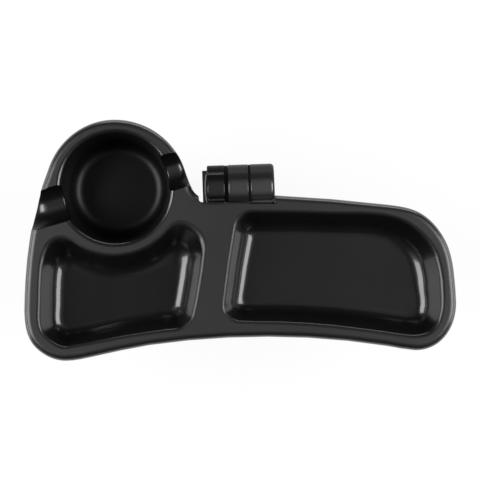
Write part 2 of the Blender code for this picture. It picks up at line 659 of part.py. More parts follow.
def make_thrust_washer():
    left, right = THRUST_WASHER_LEFT, THRUST_WASHER_RIGHT
    disc = lathe([(THRUST_WASHER_RADIUS, left), (THRUST_WASHER_RADIUS, right)], 36, axis="X")
    washer = place_node("thrust_washer", disc, BLACK_KNOB, HINGE_AXIS)
    keyed = prism(keyed_outline(BORE_RADIUS, BOLT_FLAT_DEPTH), left - SEAT_GAP, right + SEAT_GAP, axis="X")
    cut(washer, helper("keyed_hole", keyed, HINGE_AXIS))


def lobed_outline(radius, steps=4):
    """A hand knob's outline: wide lobes with a narrow round groove between them."""
    groove = math.degrees(KNOB_GROOVE_RADIUS / radius) * 1.5
    half = 180 / KNOB_LOBES
    outline = []
    for lobe in range(KNOB_LOBES):
        middle = 90 + lobe * 2 * half
        outline += arc((0.0, 0.0), radius, middle - half + groove, middle + half - groove, steps + 2)
        turn = middle + half
        centre = (radius * math.cos(math.radians(turn)), radius * math.sin(math.radians(turn)))
        outline += arc(centre, KNOB_GROOVE_RADIUS, turn - 90, turn - 270, steps)
    return outline


def knob_form(name, location, axis, low, high):
    """A lobed knob with eased ends."""
    full = lobed_outline(KNOB_RADIUS)
    share = 1 - KNOB_EDGE / KNOB_RADIUS
    small = [(a * share, b * share) for a, b in full]
    levels = [(small, low), (full, low + KNOB_EDGE), (full, high - KNOB_EDGE), (small, high)]
    rings = [[facing(a, b, height, axis) for a, b in ring] for ring, height in levels]
    return place_node(name, loft(rings), BLACK_KNOB, location)


def make_knob_cap():
    """A shallow cap with a crowned face, in the tilt knob's end."""
    stem = KNOB_CAP_RECESS - SEAT_GAP
    profile = [(KNOB_CAP_RADIUS, 0.0), (KNOB_CAP_RADIUS, -stem)]
    for step in range(1, 5):
        turn = math.pi / 2 * step / 4
        radius = max(KNOB_CAP_RADIUS * math.cos(turn), KNOB_CAP_FLAT)
        profile.append((radius, -stem - KNOB_CAP_DOME * math.sin(turn)))
    place_node("knob_cap", lathe(profile, 32, axis="X"), BLACK_KNOB, (CAP_SEAT - SEAT_GAP, *HINGE_AXIS[1:]))


def make_tilt_knob():
    knob = knob_form("tilt_knob", HINGE_AXIS, "X", KNOB_LEFT, KNOB_RIGHT)
    nut_left = CAP_SEAT + SEAT_GAP
    nut_right = nut_left + NUT_HEIGHT
    cut(knob, rod_x("knob_bore", BORE_RADIUS, CAP_SEAT, KNOB_RIGHT + KNOB_EDGE),
        hex_x("nut_pocket", HEX_POCKET_FLATS, CAP_SEAT - KNOB_EDGE, nut_right + SEAT_GAP),
        rod_x("cap_recess", KNOB_CAP_RADIUS + SEAT_GAP, KNOB_LEFT - KNOB_EDGE, CAP_SEAT, 32))
    hexagon = prism(hex_outline(BOLT_HEAD_FLATS), nut_left, nut_right, axis="X")
    nut = place_node("knob_nut", hexagon, BRASS, HINGE_AXIS)
    cut(nut, rod_x("nut_bore", BORE_RADIUS, nut_left - SEAT_GAP, nut_right + SEAT_GAP))


def bar_arc(radius, centre, half_angle, upward, steps=10):
    """An arc over or under the bar, from the child's side to the spine."""
    middle = 90 if upward else 270
    turn = half_angle if upward else -half_angle
    return arc((0.0, centre), radius, middle + turn, middle - turn, steps)


def half_turn(reach, radius):
    """The angle from upright at which an arc has come that far out, in degrees."""
    return math.degrees(math.asin(reach / radius))


def clamp_section():
    """The clamp frame seen along the bar: two arms and a spine."""
    root = half_turn(SPINE_INNER, PAD_SEAT_RADIUS)
    half = half_turn(ARM_REACH - PAD_INSET / 2, PAD_SEAT_RADIUS)
    hollow = arc((0.0, SADDLE_CENTRE), PAD_SEAT_RADIUS, 90 + half, 90 - root, 10)
    corner = CLAMP_WALL / 2
    return [(-ARM_REACH, hollow[0][1] - PAD_INSET / 2), *hollow,
            (SPINE_INNER, LOWER_ARM_TOP), (-ARM_REACH, LOWER_ARM_TOP),
            (-ARM_REACH, LOWER_ARM_BOTTOM + corner), (-ARM_REACH + corner, LOWER_ARM_BOTTOM),
            (SPINE_OUTER - corner, LOWER_ARM_BOTTOM), (SPINE_OUTER, LOWER_ARM_BOTTOM + corner),
            (SPINE_OUTER, UPPER_ARM_TOP - corner), (SPINE_OUTER - corner, UPPER_ARM_TOP),
            (-ARM_REACH + corner, UPPER_ARM_TOP), (-ARM_REACH, UPPER_ARM_TOP - corner)]


def make_clamp_frame():
    body = prism(clamp_section(), CLAMP_LEFT, -CLAMP_LEFT, axis="X")
    frame = place_node("clamp_frame", body, BLACK_HINGE)
    ease_edges(frame, CLAMP_EDGE)
    left, right = CLAMP_KNUCKLE_LEFT, CLAMP_KNUCKLE_RIGHT
    knuckle = barrel(left, right, KNUCKLE_RADIUS, KNUCKLE_EDGE, KNUCKLE_EDGE / 2)
    side = KNUCKLE_EDGE / 4
    neck = box((left + side, -NECK_WIDTH / 2, UPPER_ARM_TOP - CLAMP_WALL / 2 - HINGE_HEIGHT),
               (right - side, NECK_WIDTH / 2, -KNUCKLE_RADIUS / 3))
    join(frame, helper("clamp_knuckle", knuckle, HINGE_AXIS), helper("neck", neck, HINGE_AXIS))
    cut(frame, rod_x("clamp_bore", BORE_RADIUS, left - KNUCKLE_EDGE, right + KNUCKLE_EDGE),
        helper("insert_seat", lathe(insert_profile(SEAT_GAP), 28)))


def make_pad(name, upward):
    """A curved rubber pad that lies in the frame or in the jaw."""
    centre = SADDLE_CENTRE if upward else -SADDLE_CENTRE
    half = half_turn(ARM_REACH - PAD_INSET, SADDLE_RADIUS + PAD_THICKNESS)
    section = bar_arc(SADDLE_RADIUS, centre, half, upward)
    section += bar_arc(SADDLE_RADIUS + PAD_THICKNESS, centre, half, upward)[::-1]
    low = CLAMP_LEFT + PAD_INSET
    place_node(name, prism(section, low, -low, axis="X"), RUBBER)


def make_clamp_jaw():
    half = half_turn(ARM_REACH - PAD_INSET / 2, PAD_SEAT_RADIUS)
    top = bar_arc(PAD_SEAT_RADIUS, -SADDLE_CENTRE, half, False)
    guide = SPINE_INNER - RUN_GAP
    section = [(-ARM_REACH, top[0][1]), *top, (guide, top[-1][1]), (guide, JAW_BOTTOM),
               (-ARM_REACH + JAW_WEB, JAW_BOTTOM), (-ARM_REACH, JAW_BOTTOM + JAW_WEB)]
    side = CLAMP_LEFT + PAD_INSET / 2
    jaw = place_node("clamp_jaw", prism(section, side, -side, axis="X"), BLACK_HINGE)
    ease_edges(jaw, CLAMP_EDGE)
    cut(jaw, rod_z("clip_well", COLLAR_RADIUS + 2 * RUN_GAP, JAW_WEB_TOP, JAW_WEB_TOP + JAW_CROWN, 28),
        rod_z("spindle_hole", SPINDLE_DIAMETER / 2 + RUN_GAP, JAW_BOTTOM - JAW_WEB, JAW_WEB_TOP + RUN_GAP))


def insert_profile(gap):
    """The threaded bush in the lower arm, or its seat with a gap round it."""
    shoulder = LOWER_ARM_TOP - INSERT_FLANGE_THICKNESS - gap
    return [(INSERT_RADIUS + gap, LOWER_ARM_BOTTOM - gap), (INSERT_RADIUS + gap, shoulder),
            (INSERT_FLANGE_RADIUS + gap, shoulder), (INSERT_FLANGE_RADIUS + gap, LOWER_ARM_TOP + gap)]


def make_clamp_insert():
    insert = place_node("clamp_insert", lathe(insert_profile(0.0), 28), BRASS)
    radius = SPINDLE_DIAMETER / 2 + SEAT_GAP
    cut(insert, rod_z("insert_bore", radius, LOWER_ARM_BOTTOM - SEAT_GAP, LOWER_ARM_TOP + SEAT_GAP))


def make_clamp_screw():
    radius = SPINDLE_DIAMETER / 2
    neck = radius * 0.8
    collar_top = COLLAR_BOTTOM + COLLAR_HEIGHT
    groove_top = CLIP_GROOVE + CLIP_THICKNESS + SEAT_GAP
    profile = [(radius * 0.85, SPINDLE_FOOT), (radius, SPINDLE_FOOT + radius * 0.3),
               (radius, COLLAR_BOTTOM), (COLLAR_RADIUS, COLLAR_BOTTOM),
               (COLLAR_RADIUS, collar_top), (radius, collar_top), (radius, CLIP_GROOVE),
               (neck, CLIP_GROOVE), (neck, groove_top), (radius, groove_top),
               (radius, SPINDLE_TOP - radius * 0.15),
               (radius * 0.85, SPINDLE_TOP)]
    screw = place_node("clamp_screw", lathe(profile, 24), STEEL)
    cut(screw, pin_cutter("pin_hole", 2 * radius))
    clip = arc((0.0, 0.0), COLLAR_RADIUS, 30, 330, 16) + arc((0.0, 0.0), neck + SEAT_GAP, 330, 30, 12)
    low = CLIP_GROOVE + SEAT_GAP / 2
    place_node("jaw_clip", prism(clip, low, low + CLIP_THICKNESS), STEEL)


def pin_cutter(name, reach):
    """The cross hole for the pin that holds the clamp knob on its screw."""
    radius = PIN_RADIUS + SEAT_GAP
    return helper(name, lathe([(radius, -reach), (radius, reach)], 12, axis="X"), (0.0, 0.0, PIN_HEIGHT))


def make_clamp_knob():
    knob = knob_form("clamp_knob", (0.0, 0.0, 0.0), "Z", CLAMP_KNOB_TOP - KNOB_LENGTH, CLAMP_KNOB_TOP)
    radius = SPINDLE_DIAMETER / 2 + SEAT_GAP
    cut(knob, rod_z("spindle_socket", radius, SPINDLE_FOOT - SEAT_GAP, CLAMP_KNOB_TOP + SEAT_GAP),
        pin_cutter("cross_hole", KNOB_RADIUS * 1.2))
    half = KNOB_RADIUS - KNOB_GROOVE_RADIUS - KNOB_EDGE
    pin = lathe([(PIN_RADIUS, -half), (PIN_RADIUS, half)], 12, axis="X")
    place_node("knob_pin", pin, STEEL, (0.0, 0.0, PIN_HEIGHT))


make_tray_shell()
make_hinge_bracket()
make_bracket_screws()
make_tilt_bolt()
make_friction_washer()
make_thrust_washer()
make_tilt_knob()
make_knob_cap()
make_clamp_frame()
make_pad("upper_pad", True)
make_clamp_insert()
make_clamp_jaw()
make_pad("jaw_pad", False)
make_clamp_screw()
make_clamp_knob()
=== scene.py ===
"""The looks of the stroller snack tray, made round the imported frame.

Everything is in metres. The origin is the centre of the gripped bar, +X runs along the bar,
-Y points to the child and +Z is up.
"""
import math

import bmesh
import bpy
from mathutils import Matrix, Vector


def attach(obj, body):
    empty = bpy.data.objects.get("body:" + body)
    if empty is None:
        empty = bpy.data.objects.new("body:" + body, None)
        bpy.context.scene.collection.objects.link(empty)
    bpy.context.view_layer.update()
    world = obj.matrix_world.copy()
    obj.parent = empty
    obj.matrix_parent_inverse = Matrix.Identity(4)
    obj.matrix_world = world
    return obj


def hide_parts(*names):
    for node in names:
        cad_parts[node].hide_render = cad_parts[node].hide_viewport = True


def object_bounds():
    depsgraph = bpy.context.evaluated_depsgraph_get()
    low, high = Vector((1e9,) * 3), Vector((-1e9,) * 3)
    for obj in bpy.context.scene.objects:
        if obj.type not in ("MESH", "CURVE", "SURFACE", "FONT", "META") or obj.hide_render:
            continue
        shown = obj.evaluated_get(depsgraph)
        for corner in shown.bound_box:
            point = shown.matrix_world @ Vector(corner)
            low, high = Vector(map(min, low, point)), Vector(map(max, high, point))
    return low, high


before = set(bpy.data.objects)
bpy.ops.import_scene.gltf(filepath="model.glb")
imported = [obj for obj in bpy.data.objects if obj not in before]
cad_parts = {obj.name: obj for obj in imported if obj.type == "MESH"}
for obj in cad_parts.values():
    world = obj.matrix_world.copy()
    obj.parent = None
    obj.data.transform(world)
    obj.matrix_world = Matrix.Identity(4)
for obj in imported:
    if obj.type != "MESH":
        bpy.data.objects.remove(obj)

cad_low, cad_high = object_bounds()

# Operations of the solid shapes, and the frame's origin
JOIN, CUT, KEEP = "UNION", "DIFFERENCE", "INTERSECT"
ORIGIN = (0.0, 0.0, 0.0)

# Hinge axis and barrel, as in the solid model
HINGE = Vector((0.0, 0.010, 0.060))
KNUCKLE_RADIUS = 0.0183
KNUCKLE_EDGE = 0.0013
KNUCKLE_END_EDGE = 0.0028
KNUCKLE_SEAM_EDGE = 0.0007
CLAMP_KNUCKLE = (-0.0080, 0.0082)
TRAY_KNUCKLE = (0.0098, 0.0285)
BORE_RADIUS = 0.0043
HEX_POCKET_FLATS = 0.0136
DECK_TOP = HINGE.z + KNUCKLE_RADIUS

# Tray
TRAY_LENGTH = 0.3388
TRAY_DEPTH = 0.1893
DECK_WALL = 0.0028
SKIRT_HEIGHT = 0.0220
SKIRT_DRAFT = math.radians(1.0)
SKIRT_EDGE = 0.0056
LIP = 0.0008
LIP_FOOT_STEPS = [(0.6, 0.0), (0.2, 0.3)]
GAP_LIP_LEFT = 0.0008
GAP_LIP_DEEP = 0.0011
GAP_LIP_RIGHT = 0.0005
NOTCH_FLARE = 0.0032
NOTCH_FLARE_LENGTH = 0.0130
NOTCH_INNER_FLARE = 0.0014
NOTCH_WIDENING = 0.2
NOTCH_MOUTH_SHARE = 0.55
NOTCH_BAR_REACH = 1.6
CUP_RIM_RADIUS = 0.0462
CUP_FLOOR_RADIUS = 0.0285
CUP_DEPTH = 0.0520
CUP_RIM_EDGE = 0.0036
CUP_FLOOR_EDGE = 0.0100
NOTCH_ANGLE = math.radians(14.0)
NOTCH_RADIUS = 0.0142
NOTCH_CENTRE_DEPTH = 0.0005
POCKET_DEPTH = 0.0240
POCKET_RUN = 0.0203
POCKET_RIM_EDGE = 0.0038
POCKET_FLOOR_EDGE = 0.0118
BOSS_RADIUS = 0.0043
BOSS_HEIGHT = 0.0080
SCREW_COUNT = 3
SCREW_SPACING = 0.0200
SCREW_INSET = 0.0070
PILOT_RADIUS = 0.0021
PILOT_TOP = 0.0086
BARREL_GAP = (-0.0312, 0.0290)
BARREL_GAP_DEPTH = (-0.0106, -0.0130)
BARREL_GAP_FLARE = 0.0018
BARREL_GAP_FILLET = (0.0032, 0.0010)
BRACKET_CLEARANCE = KNUCKLE_RADIUS + 0.0008

# Bracket, its heights and reaches measured from the hinge axis
BEAM_WALL = 0.0024
BEAM_SLOPE = 0.0036
BEAM_LEFT = -0.0235
UNDER_DECK = 0.0152
TONGUE_TOP = 0.0072
BRACKET_TAIL = 0.0030
TONGUE_WIDTH = 0.0130
TONGUE_EDGE = 0.0008
RIDGE_HEEL = -0.0077
RIDGE_BACK = -0.0110
RIDGE_TOP = 0.0168
RIDGE_CREST = 0.0004
RIDGE_BEND = 125
WEB_REACH = 0.0124
WEB_OVERHANG = 0.0030
WEB_ROOT = 0.0010
WEB_DROP = 0.0004
BOLT_HEAD_HEIGHT = 0.0053

# Hand knobs
KNOB = (-0.0242, -0.0102)
KNOB_RADIUS = 0.0183
KNOB_LENGTH = 0.0140
KNOB_LOBES = 5
KNOB_GROOVE_RADIUS = 0.0017
KNOB_GROOVE_TURN = 78
KNOB_GROOVE_MARGIN = 1.5
KNOB_SIDEWAYS = 0.3
KNOB_PHASE = -6
KNOB_EDGE = 0.0010
KNOB_CAP_RADIUS = 0.0125
KNOB_CAP_DOME = 0.0022
KNOB_CAP_RECESS = 0.0020
NUT_HEIGHT = 0.0065

# Gaps between pieces, how far a cutting tool reaches past a solid, and the small edges of turned ones
FIT = 0.0003
RUN_FIT = 0.0004
TOUCH = 0.00006
BEYOND = 0.0010
CHAMFER = 0.0003

# Bar clamp
CLAMP_WIDTH = 0.0576
CLAMP_WALL = 0.0062
ARM_REACH = 0.0175
PAD_THICKNESS = 0.0025
PAD_INSET = 0.0020
PAD_RIBS = 18
RIB_HEIGHT = 0.00035
CLAMP_EDGE = 0.0009
NECK_WIDTH = 0.0220
NECK_INSET = 0.0004
SADDLE_RADIUS = 0.0193
SADDLE_CENTRE = -0.0033
PAD_SEAT_RADIUS = 0.0221
SPINE_INNER = 0.0198
SPINE_OUTER = 0.0260
UPPER_ARM_TOP = 0.0250
LOWER_ARM_TOP = -0.0367
LOWER_ARM_BOTTOM = -0.0467
INSERT_RADIUS = 0.0065
INSERT_FLANGE_RADIUS = 0.0085
BUSH_SHOULDER = LOWER_ARM_TOP - 0.0016
SPINDLE_RADIUS = 0.0040
SPINDLE_FOOT = -0.0691
CLAMP_KNOB_TOP = -0.0579
PIN_RADIUS = 0.0012
PIN_HEIGHT = -0.0642
PIN_HALF = 0.0145
JAW_WEB = 0.0040
JAW_BOTTOM = -0.0268
COLLAR_RADIUS = 0.0065
COLLAR_HEIGHT = 0.0025
COLLAR_BOTTOM = -0.0296
SPINDLE_TOP = -0.0194
CLIP_THICKNESS = 0.0009
CLIP_EDGE = 0.0001
CLIP_GAP = 30

# Threads, bolt, screws and washers
THREAD_PITCH = 0.00125
THREAD_DEPTH = 0.0007
THREAD_FLANK = 2.4
THREAD_LEAD_IN = 0.0012
THREAD_RUNOUT = 0.0015
CORE_SHARE = 0.8
LEAD = 0.0040
LEAD_STARTS = 2
BOLT_TIP = -0.0219
BOLT_HEAD_LEFT = 0.0229
BOLT_THREAD = 0.0104
BOLT_PLAIN = 0.00975
BOLT_POINT = (0.78, 1.30, 0.45)
BOLT_FLATS = 0.0130
BOLT_FLAT_DEPTH = 0.0009
HEX_FACE_SHARE = 0.97
HEX_CUT_SHARE = 0.6
SCREW_RADIUS = 0.0018
SCREW_LENGTH = 0.0125
SCREW_HEAD_RADIUS = 0.0036
SCREW_HEAD_HEIGHT = 0.0024
SCREW_FACE_SHARE = 0.45
SCREW_DOME_SHARE = 0.7
SCREW_POINT_SHARE = 0.7
SCREW_POINT_ROOT = 0.0002
SCREW_PITCH = 0.0013
SCREW_THREAD_DEPTH = 0.0004
RECESS_REACH = 0.0021
RECESS_HALF = 0.0004
RECESS_DEPTH = 0.0013
WASHER_EDGE = 0.0001

# Outlines seen from above, from the hinge axis, each point with its heading in degrees.
# x is in thousandths of the tray's length and y in thousandths of its depth.
SKIRT_FOOT = [
    (-280.1, 299.5, 178), (-435.6, 113.7, 248), (-476.4, -97.5, 257), (-500.0, -354.7, 265),
    (-504.7, -471.0, 268), (-481.1, -634.8, 313), (-411.6, -694.1, 358), (-346.2, -680.0, 10),
    (-218.9, -641.6, 6.5), (57.7, -623.9, 358), (330.6, -679.1, 349), (393.3, -700.3, 355),
    (460.9, -657.7, 44), (495.2, -508.4, 88), (493.2, -408.2, 93), (470.3, -231.6, 119),
    (413.2, -124.5, 152), (339.9, -90.3, 171), (87.6, -37.2, 175), (-38.6, -44.3, 178),
    (-93.3, -28.0, 143), (-108.0, 4.7, 114), (-124.9, 92.9, 107)]
LARGE_RIM = [
    (30.1, -92.7, 178), (-15.8, -155.9, 256.5), (-45.8, -454.2, 260), (-42.0, -526.2, 310),
    (-10.4, -562.8, 354), (83.1, -572.7, 357), (206.9, -596.1, 353), (328.5, -632.2, 351),
    (385.6, -649.5, 356), (442.2, -624.4, 43), (464.5, -543.4, 76), (468.8, -441.0, 89),
    (458.8, -313.4, 104), (420.9, -206.3, 135), (361.8, -139.1, 161), (216.3, -111.3, 176)]
LARGE_FLOOR = [
    (51.9, -208.0, 178), (35.5, -221.8, 257), (8.1, -453.7, 261), (12.3, -477.0, 313),
    (27.7, -477.1, 0), (86.6, -476.1, 358), (212.7, -492.0, 353.5), (313.2, -516.8, 352),
    (381.0, -540.3, 354), (403.7, -533.3, 46), (405.6, -507.5, 87), (397.1, -414.7, 97),
    (391.4, -356.4, 104), (374.3, -295.8, 137), (340.9, -249.5, 162), (217.6, -220.6, 175)]
SMALL_RIM = [
    (-411.4, -170.9, 178), (-452.5, -215.6, 243), (-467.9, -312.4, 263), (-473.0, -435.7, 267.5),
    (-459.1, -594.9, 316), (-406.2, -644.4, 5), (-284.3, -611.2, 7.5), (-180.3, -590.1, 6),
    (-134.6, -575.6, 38), (-108.7, -524.0, 73), (-94.7, -418.1, 77.5), (-78.3, -254.2, 83),
    (-88.3, -175.3, 126), (-136.4, -126.6, 178), (-182.4, -181.9, 223), (-289.8, -253.9, 178),
    (-378.0, -196.3, 141)]
SMALL_FLOOR = [
    (-404.7, -326.4, 205), (-411.9, -349.0, 264), (-413.2, -401.8, 268), (-414.6, -473.0, 268),
    (-412.6, -542.3, 313), (-401.3, -547.6, 1), (-287.1, -512.1, 8.5), (-192.9, -489.4, 6),
    (-168.7, -481.2, 38), (-162.0, -462.8, 78), (-155.1, -396.1, 80), (-150.3, -341.9, 83),
    (-153.3, -314.8, 126), (-164.9, -310.8, 204), (-189.5, -325.2, 207), (-297.0, -366.5, 178),
    (-382.8, -333.2, 154)]
CUP_PLACE = (-283.3, 14.3)
TONGUE_LINE = [(-50.1, -109.4), (-76.8, -369.8)]

# Fineness of the meshes: degrees, counts and lengths under which points are one
TURN_STEP = 3
EDGE_STEPS = 8
FLOOR_EDGE_STEPS = 12
THREAD_STEPS = 6
RIB_STEPS = 8
SMOOTH_ANGLE = 34
SLIVER = 0.000001
SEAM = 0.000002


# Outlines and sections

def on_plan(x, y):
    """A point of the plan in metres, from thousandths of the tray's length and depth."""
    return Vector((x * TRAY_LENGTH, y * TRAY_DEPTH)) / 1000


def ahead(heading):
    """The direction of a heading in degrees."""
    return Vector((math.cos(math.radians(heading)), math.sin(math.radians(heading))))


def through(stations, counts):
    """Near-arcs from station to station, each with its count of points."""
    loop = []
    for index, (x, y, heading) in enumerate(stations):
        next_x, next_y, next_heading = stations[(index + 1) % len(stations)]
        turn = math.radians((next_heading - heading + 180) % 360 - 180)
        start, end = on_plan(x, y), on_plan(next_x, next_y)
        reach = (end - start).length / (3 * math.cos(turn / 4) ** 2)
        out, into = ahead(heading) * reach, ahead(next_heading) * reach
        for step in range(counts[index]):
            t = step / counts[index]
            loop.append((1 - t) ** 3 * start + 3 * t * (1 - t) ** 2 * (start + out)
                        + 3 * t ** 2 * (1 - t) * (end - into) + t ** 3 * end)
    return loop


def headed_loop(stations):
    """A smooth closed loop through the stations, with the count of points in each stretch."""
    counts = []
    for index, station in enumerate(stations):
        turn = (stations[(index + 1) % len(stations)][2] - station[2] + 180) % 360 - 180
        counts.append(max(2, math.ceil(abs(turn) / TURN_STEP)))
    return through(stations, counts), counts


def inset(loop, distance):
    """The loop moved inwards along its normals, for a loop that runs anticlockwise."""
    moved = []
    for index, point in enumerate(loop):
        along = (loop[(index + 1) % len(loop)] - loop[index - 1]).normalized()
        moved.append(point + Vector((-along.y, along.x)) * distance)
    return moved


def on_tray(loop, height):
    """Points of a loop as places in the frame, with height from the deck's top."""
    return [Vector((point.x, point.y + HINGE.y, DECK_TOP + height)) for point in loop]


def arc(centre, radius, start, end, steps):
    """Points along an arc, in degrees."""
    turns = [math.radians(start + (end - start) * step / steps) for step in range(steps + 1)]
    return [(centre[0] + radius * math.cos(turn), centre[1] + radius * math.sin(turn)) for turn in turns]


def half_turn(reach, radius):
    """The angle in degrees from the middle of an arc to where it is a reach away."""
    return math.degrees(math.asin(reach / radius))


def quarter(steps):
    """Rise and run of a quarter rounding, from its start to its end."""
    turns = [math.pi / 2 * step / steps for step in range(steps + 1)]
    return [(math.sin(turn), 1 - math.cos(turn)) for turn in turns]


def rounded(corners, steps=6):
    """A polygon whose corners (x, y, fillet radius) are rounded."""
    outline = []
    for index, (x, y, radius) in enumerate(corners):
        here = Vector((x, y))
        if radius == 0:
            outline.append(here)
            continue
        back = (Vector(corners[index - 1][:2]) - here).normalized()
        forth = (Vector(corners[(index + 1) % len(corners)][:2]) - here).normalized()
        half = back.angle(forth) / 2
        centre = here + (back + forth).normalized() * (radius / math.sin(half))
        start = here + back * (radius / math.tan(half)) - centre
        end = here + forth * (radius / math.tan(half)) - centre
        turn = start.angle_signed(end)
        for step in range(steps + 1):
            outline.append(centre + Matrix.Rotation(-turn * step / steps, 2) @ start)
    return outline


def wall_lean(run, depth, rim_edge, floor_edge):
    """How far a well's straight wall leans from upright, between its rim edge and its floor edge."""
    drop = depth - rim_edge - floor_edge
    return math.atan2(run, drop) - math.asin((rim_edge + floor_edge) / math.hypot(run, drop))


def well_section(run, depth, rim_edge, floor_edge):
    """Distance in from the rim and height of a well's wall: rim edge, straight wall, floor edge."""
    sweep = math.pi / 2 - wall_lean(run, depth, rim_edge, floor_edge)
    section = []
    for step in range(EDGE_STEPS + 1):
        turn = sweep * step / EDGE_STEPS
        section.append((rim_edge * math.sin(turn), -rim_edge * (1 - math.cos(turn))))
    for step in range(FLOOR_EDGE_STEPS + 1):
        turn = sweep * (1 - step / FLOOR_EDGE_STEPS)
        section.append((run - floor_edge * math.sin(turn), -depth + floor_edge * (1 - math.cos(turn))))
    return section


def well_back(run, depth, rim_edge, floor_edge):
    """The same section one wall thickness further out, without its rim edge."""
    lean = wall_lean(run, depth, rim_edge, floor_edge)
    edge = floor_edge + DECK_WALL
    section = []
    for step in range(EDGE_STEPS + 1):
        turn = (math.pi / 2 - lean) * (1 - step / EDGE_STEPS)
        section.append((run - edge * math.sin(turn), -depth + floor_edge - edge * math.cos(turn)))
    inward, height = section[0]
    top = -DECK_WALL / 2
    return [(inward - (top - height) * math.tan(lean), top), *section]


# Solid shapes

def loft(rings):
    """A closed solid grown from the first ring by extruding its cap through the others."""
    bm = bmesh.new()
    order = [bm.verts.new(point) for point in rings[0]]
    cap = bm.faces.new(order)
    for ring in rings[1:]:
        spent = cap if ring is not rings[1] else None
        grown = bmesh.ops.extrude_face_region(bm, geom=[cap])["geom"]
        cap = next(item for item in grown if isinstance(item, bmesh.types.BMFace))
        if spent:
            bmesh.ops.delete(bm, geom=[spent], context="FACES_ONLY")
        below = {vert: index for index, vert in enumerate(order)}
        lifted = [None] * len(order)
        for vert in cap.verts:
            near = [edge.other_vert(vert) for edge in vert.link_edges]
            foot = next(other for other in near if other in below)
            lifted[below[foot]] = vert
        for vert, point in zip(lifted, ring):
            vert.co = point
        order = lifted
    bmesh.ops.recalc_face_normals(bm, faces=bm.faces)
    return bm


def facing(across, along, height, axis):
    """A point of a section that faces the axis, at a height along it."""
    return Vector((across, along, height)) if axis == "Z" else Vector((height, across, along))


def shifted(bm, place):
    """The solid moved by a place."""
    bmesh.ops.translate(bm, vec=place, verts=bm.verts)
    return bm


def turned(profile, steps, axis="Z", place=ORIGIN, closed=False):
    """A solid spun about an axis through a place, from an open or closed line of (radius, height)."""
    bm = bmesh.new()
    verts = [bm.verts.new(facing(radius, 0.0, height, axis)) for radius, height in profile]
    edges = [bm.edges.new(pair) for pair in zip(verts, verts[1:])]
    if closed:
        edges.append(bm.edges.new((verts[-1], verts[0])))
    bmesh.ops.spin(bm, geom=verts + edges, cent=ORIGIN, axis=facing(0, 0, 1, axis), dvec=ORIGIN,
                   angle=2 * math.pi, steps=steps, use_merge=True, use_duplicate=False)
    bmesh.ops.remove_doubles(bm, verts=bm.verts, dist=SLIVER)
    ends = [edge for edge in bm.edges if edge.is_boundary]
    if ends:
        bmesh.ops.holes_fill(bm, edges=ends, sides=0)
    bmesh.ops.recalc_face_normals(bm, faces=bm.faces)
    return shifted(bm, place)


def rod(radius, low, high, steps=48, axis="Z", place=ORIGIN):
    """A plain round bar between two heights along an axis, for a shaft or a bore."""
    return turned([(0.0, low), (radius, low), (radius, high), (0.0, high)], steps, axis, place)


def chamfered(radius, low, high, cut=CHAMFER):
    """The two chamfered corners in the profile of a turned collar, pin or disc."""
    return [(radius - cut, low), (radius, low + cut), (radius, high - cut), (radius - cut, high)]


def prism(outline, low, high, axis="Z", place=ORIGIN):
    """An outline extruded between two heights along an axis."""
    rings = [[facing(a, b, height, axis) + Vector(place) for a, b in outline] for height in (low, high)]
    return loft(rings)


def box(low, high):
    """A block between two corners."""
    bm = bmesh.new()
    bmesh.ops.create_cube(bm, size=1.0)
    bmesh.ops.scale(bm, vec=Vector(high) - Vector(low), verts=bm.verts)
    return shifted(bm, (Vector(low) + Vector(high)) / 2)


def placed(name, data):
    """A new object in the scene, made of a mesh, a light or a camera."""
    made = bpy.data.objects.new(name, data)
    bpy.context.scene.collection.objects.link(made)
    return made


def loose_object(name, bm, finishes=()):
    """A mesh in the scene that rides on nothing yet."""
    mesh = bpy.data.meshes.new(name)
    bm.to_mesh(mesh)
    bm.free()
    for finish in finishes:
        mesh.materials.append(finish)
    return placed(name, mesh)


def carved(start, steps, finish=None):
    """A solid after joining or cutting others in turn, some of them with a finish of their own."""
    work = loose_object("work", start, [finish] if finish else [])
    tools = []
    for operation, shape, *own in steps:
        tool = loose_object("tool", shape, own or ([finish] if finish else []))
        change = work.modifiers.new("change", "BOOLEAN")
        change.operation = operation
        change.solver = "EXACT"
        change.material_mode = "TRANSFER"
        change.object = tool
        tools.append(tool)
    bpy.context.view_layer.update()
    settled = bpy.data.meshes.new_from_object(work.evaluated_get(bpy.context.evaluated_depsgraph_get()))
    bm = bmesh.new()
    bm.from_mesh(settled)
    for spent in [work, *tools]:
        bpy.data.objects.remove(spent, do_unlink=True)
    bmesh.ops.remove_doubles(bm, verts=bm.verts, dist=SEAM)
    bmesh.ops.dissolve_degenerate(bm, dist=SLIVER, edges=bm.edges)
    return bm, list(settled.materials)


def piece(name, bm, finishes, body, node):
    """A finished piece that rides on a body, with its finishes and the node that it stands for."""
    made = loose_object(name, bm, finishes)
    made.data.shade_smooth()
    made.data.set_sharp_from_angle(angle=math.radians(SMOOTH_ANGLE))
    even = made.modifiers.new("even_shading", "WEIGHTED_NORMAL")
    even.keep_sharp = True
    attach(made, body)
    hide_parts(node)


# Finishes

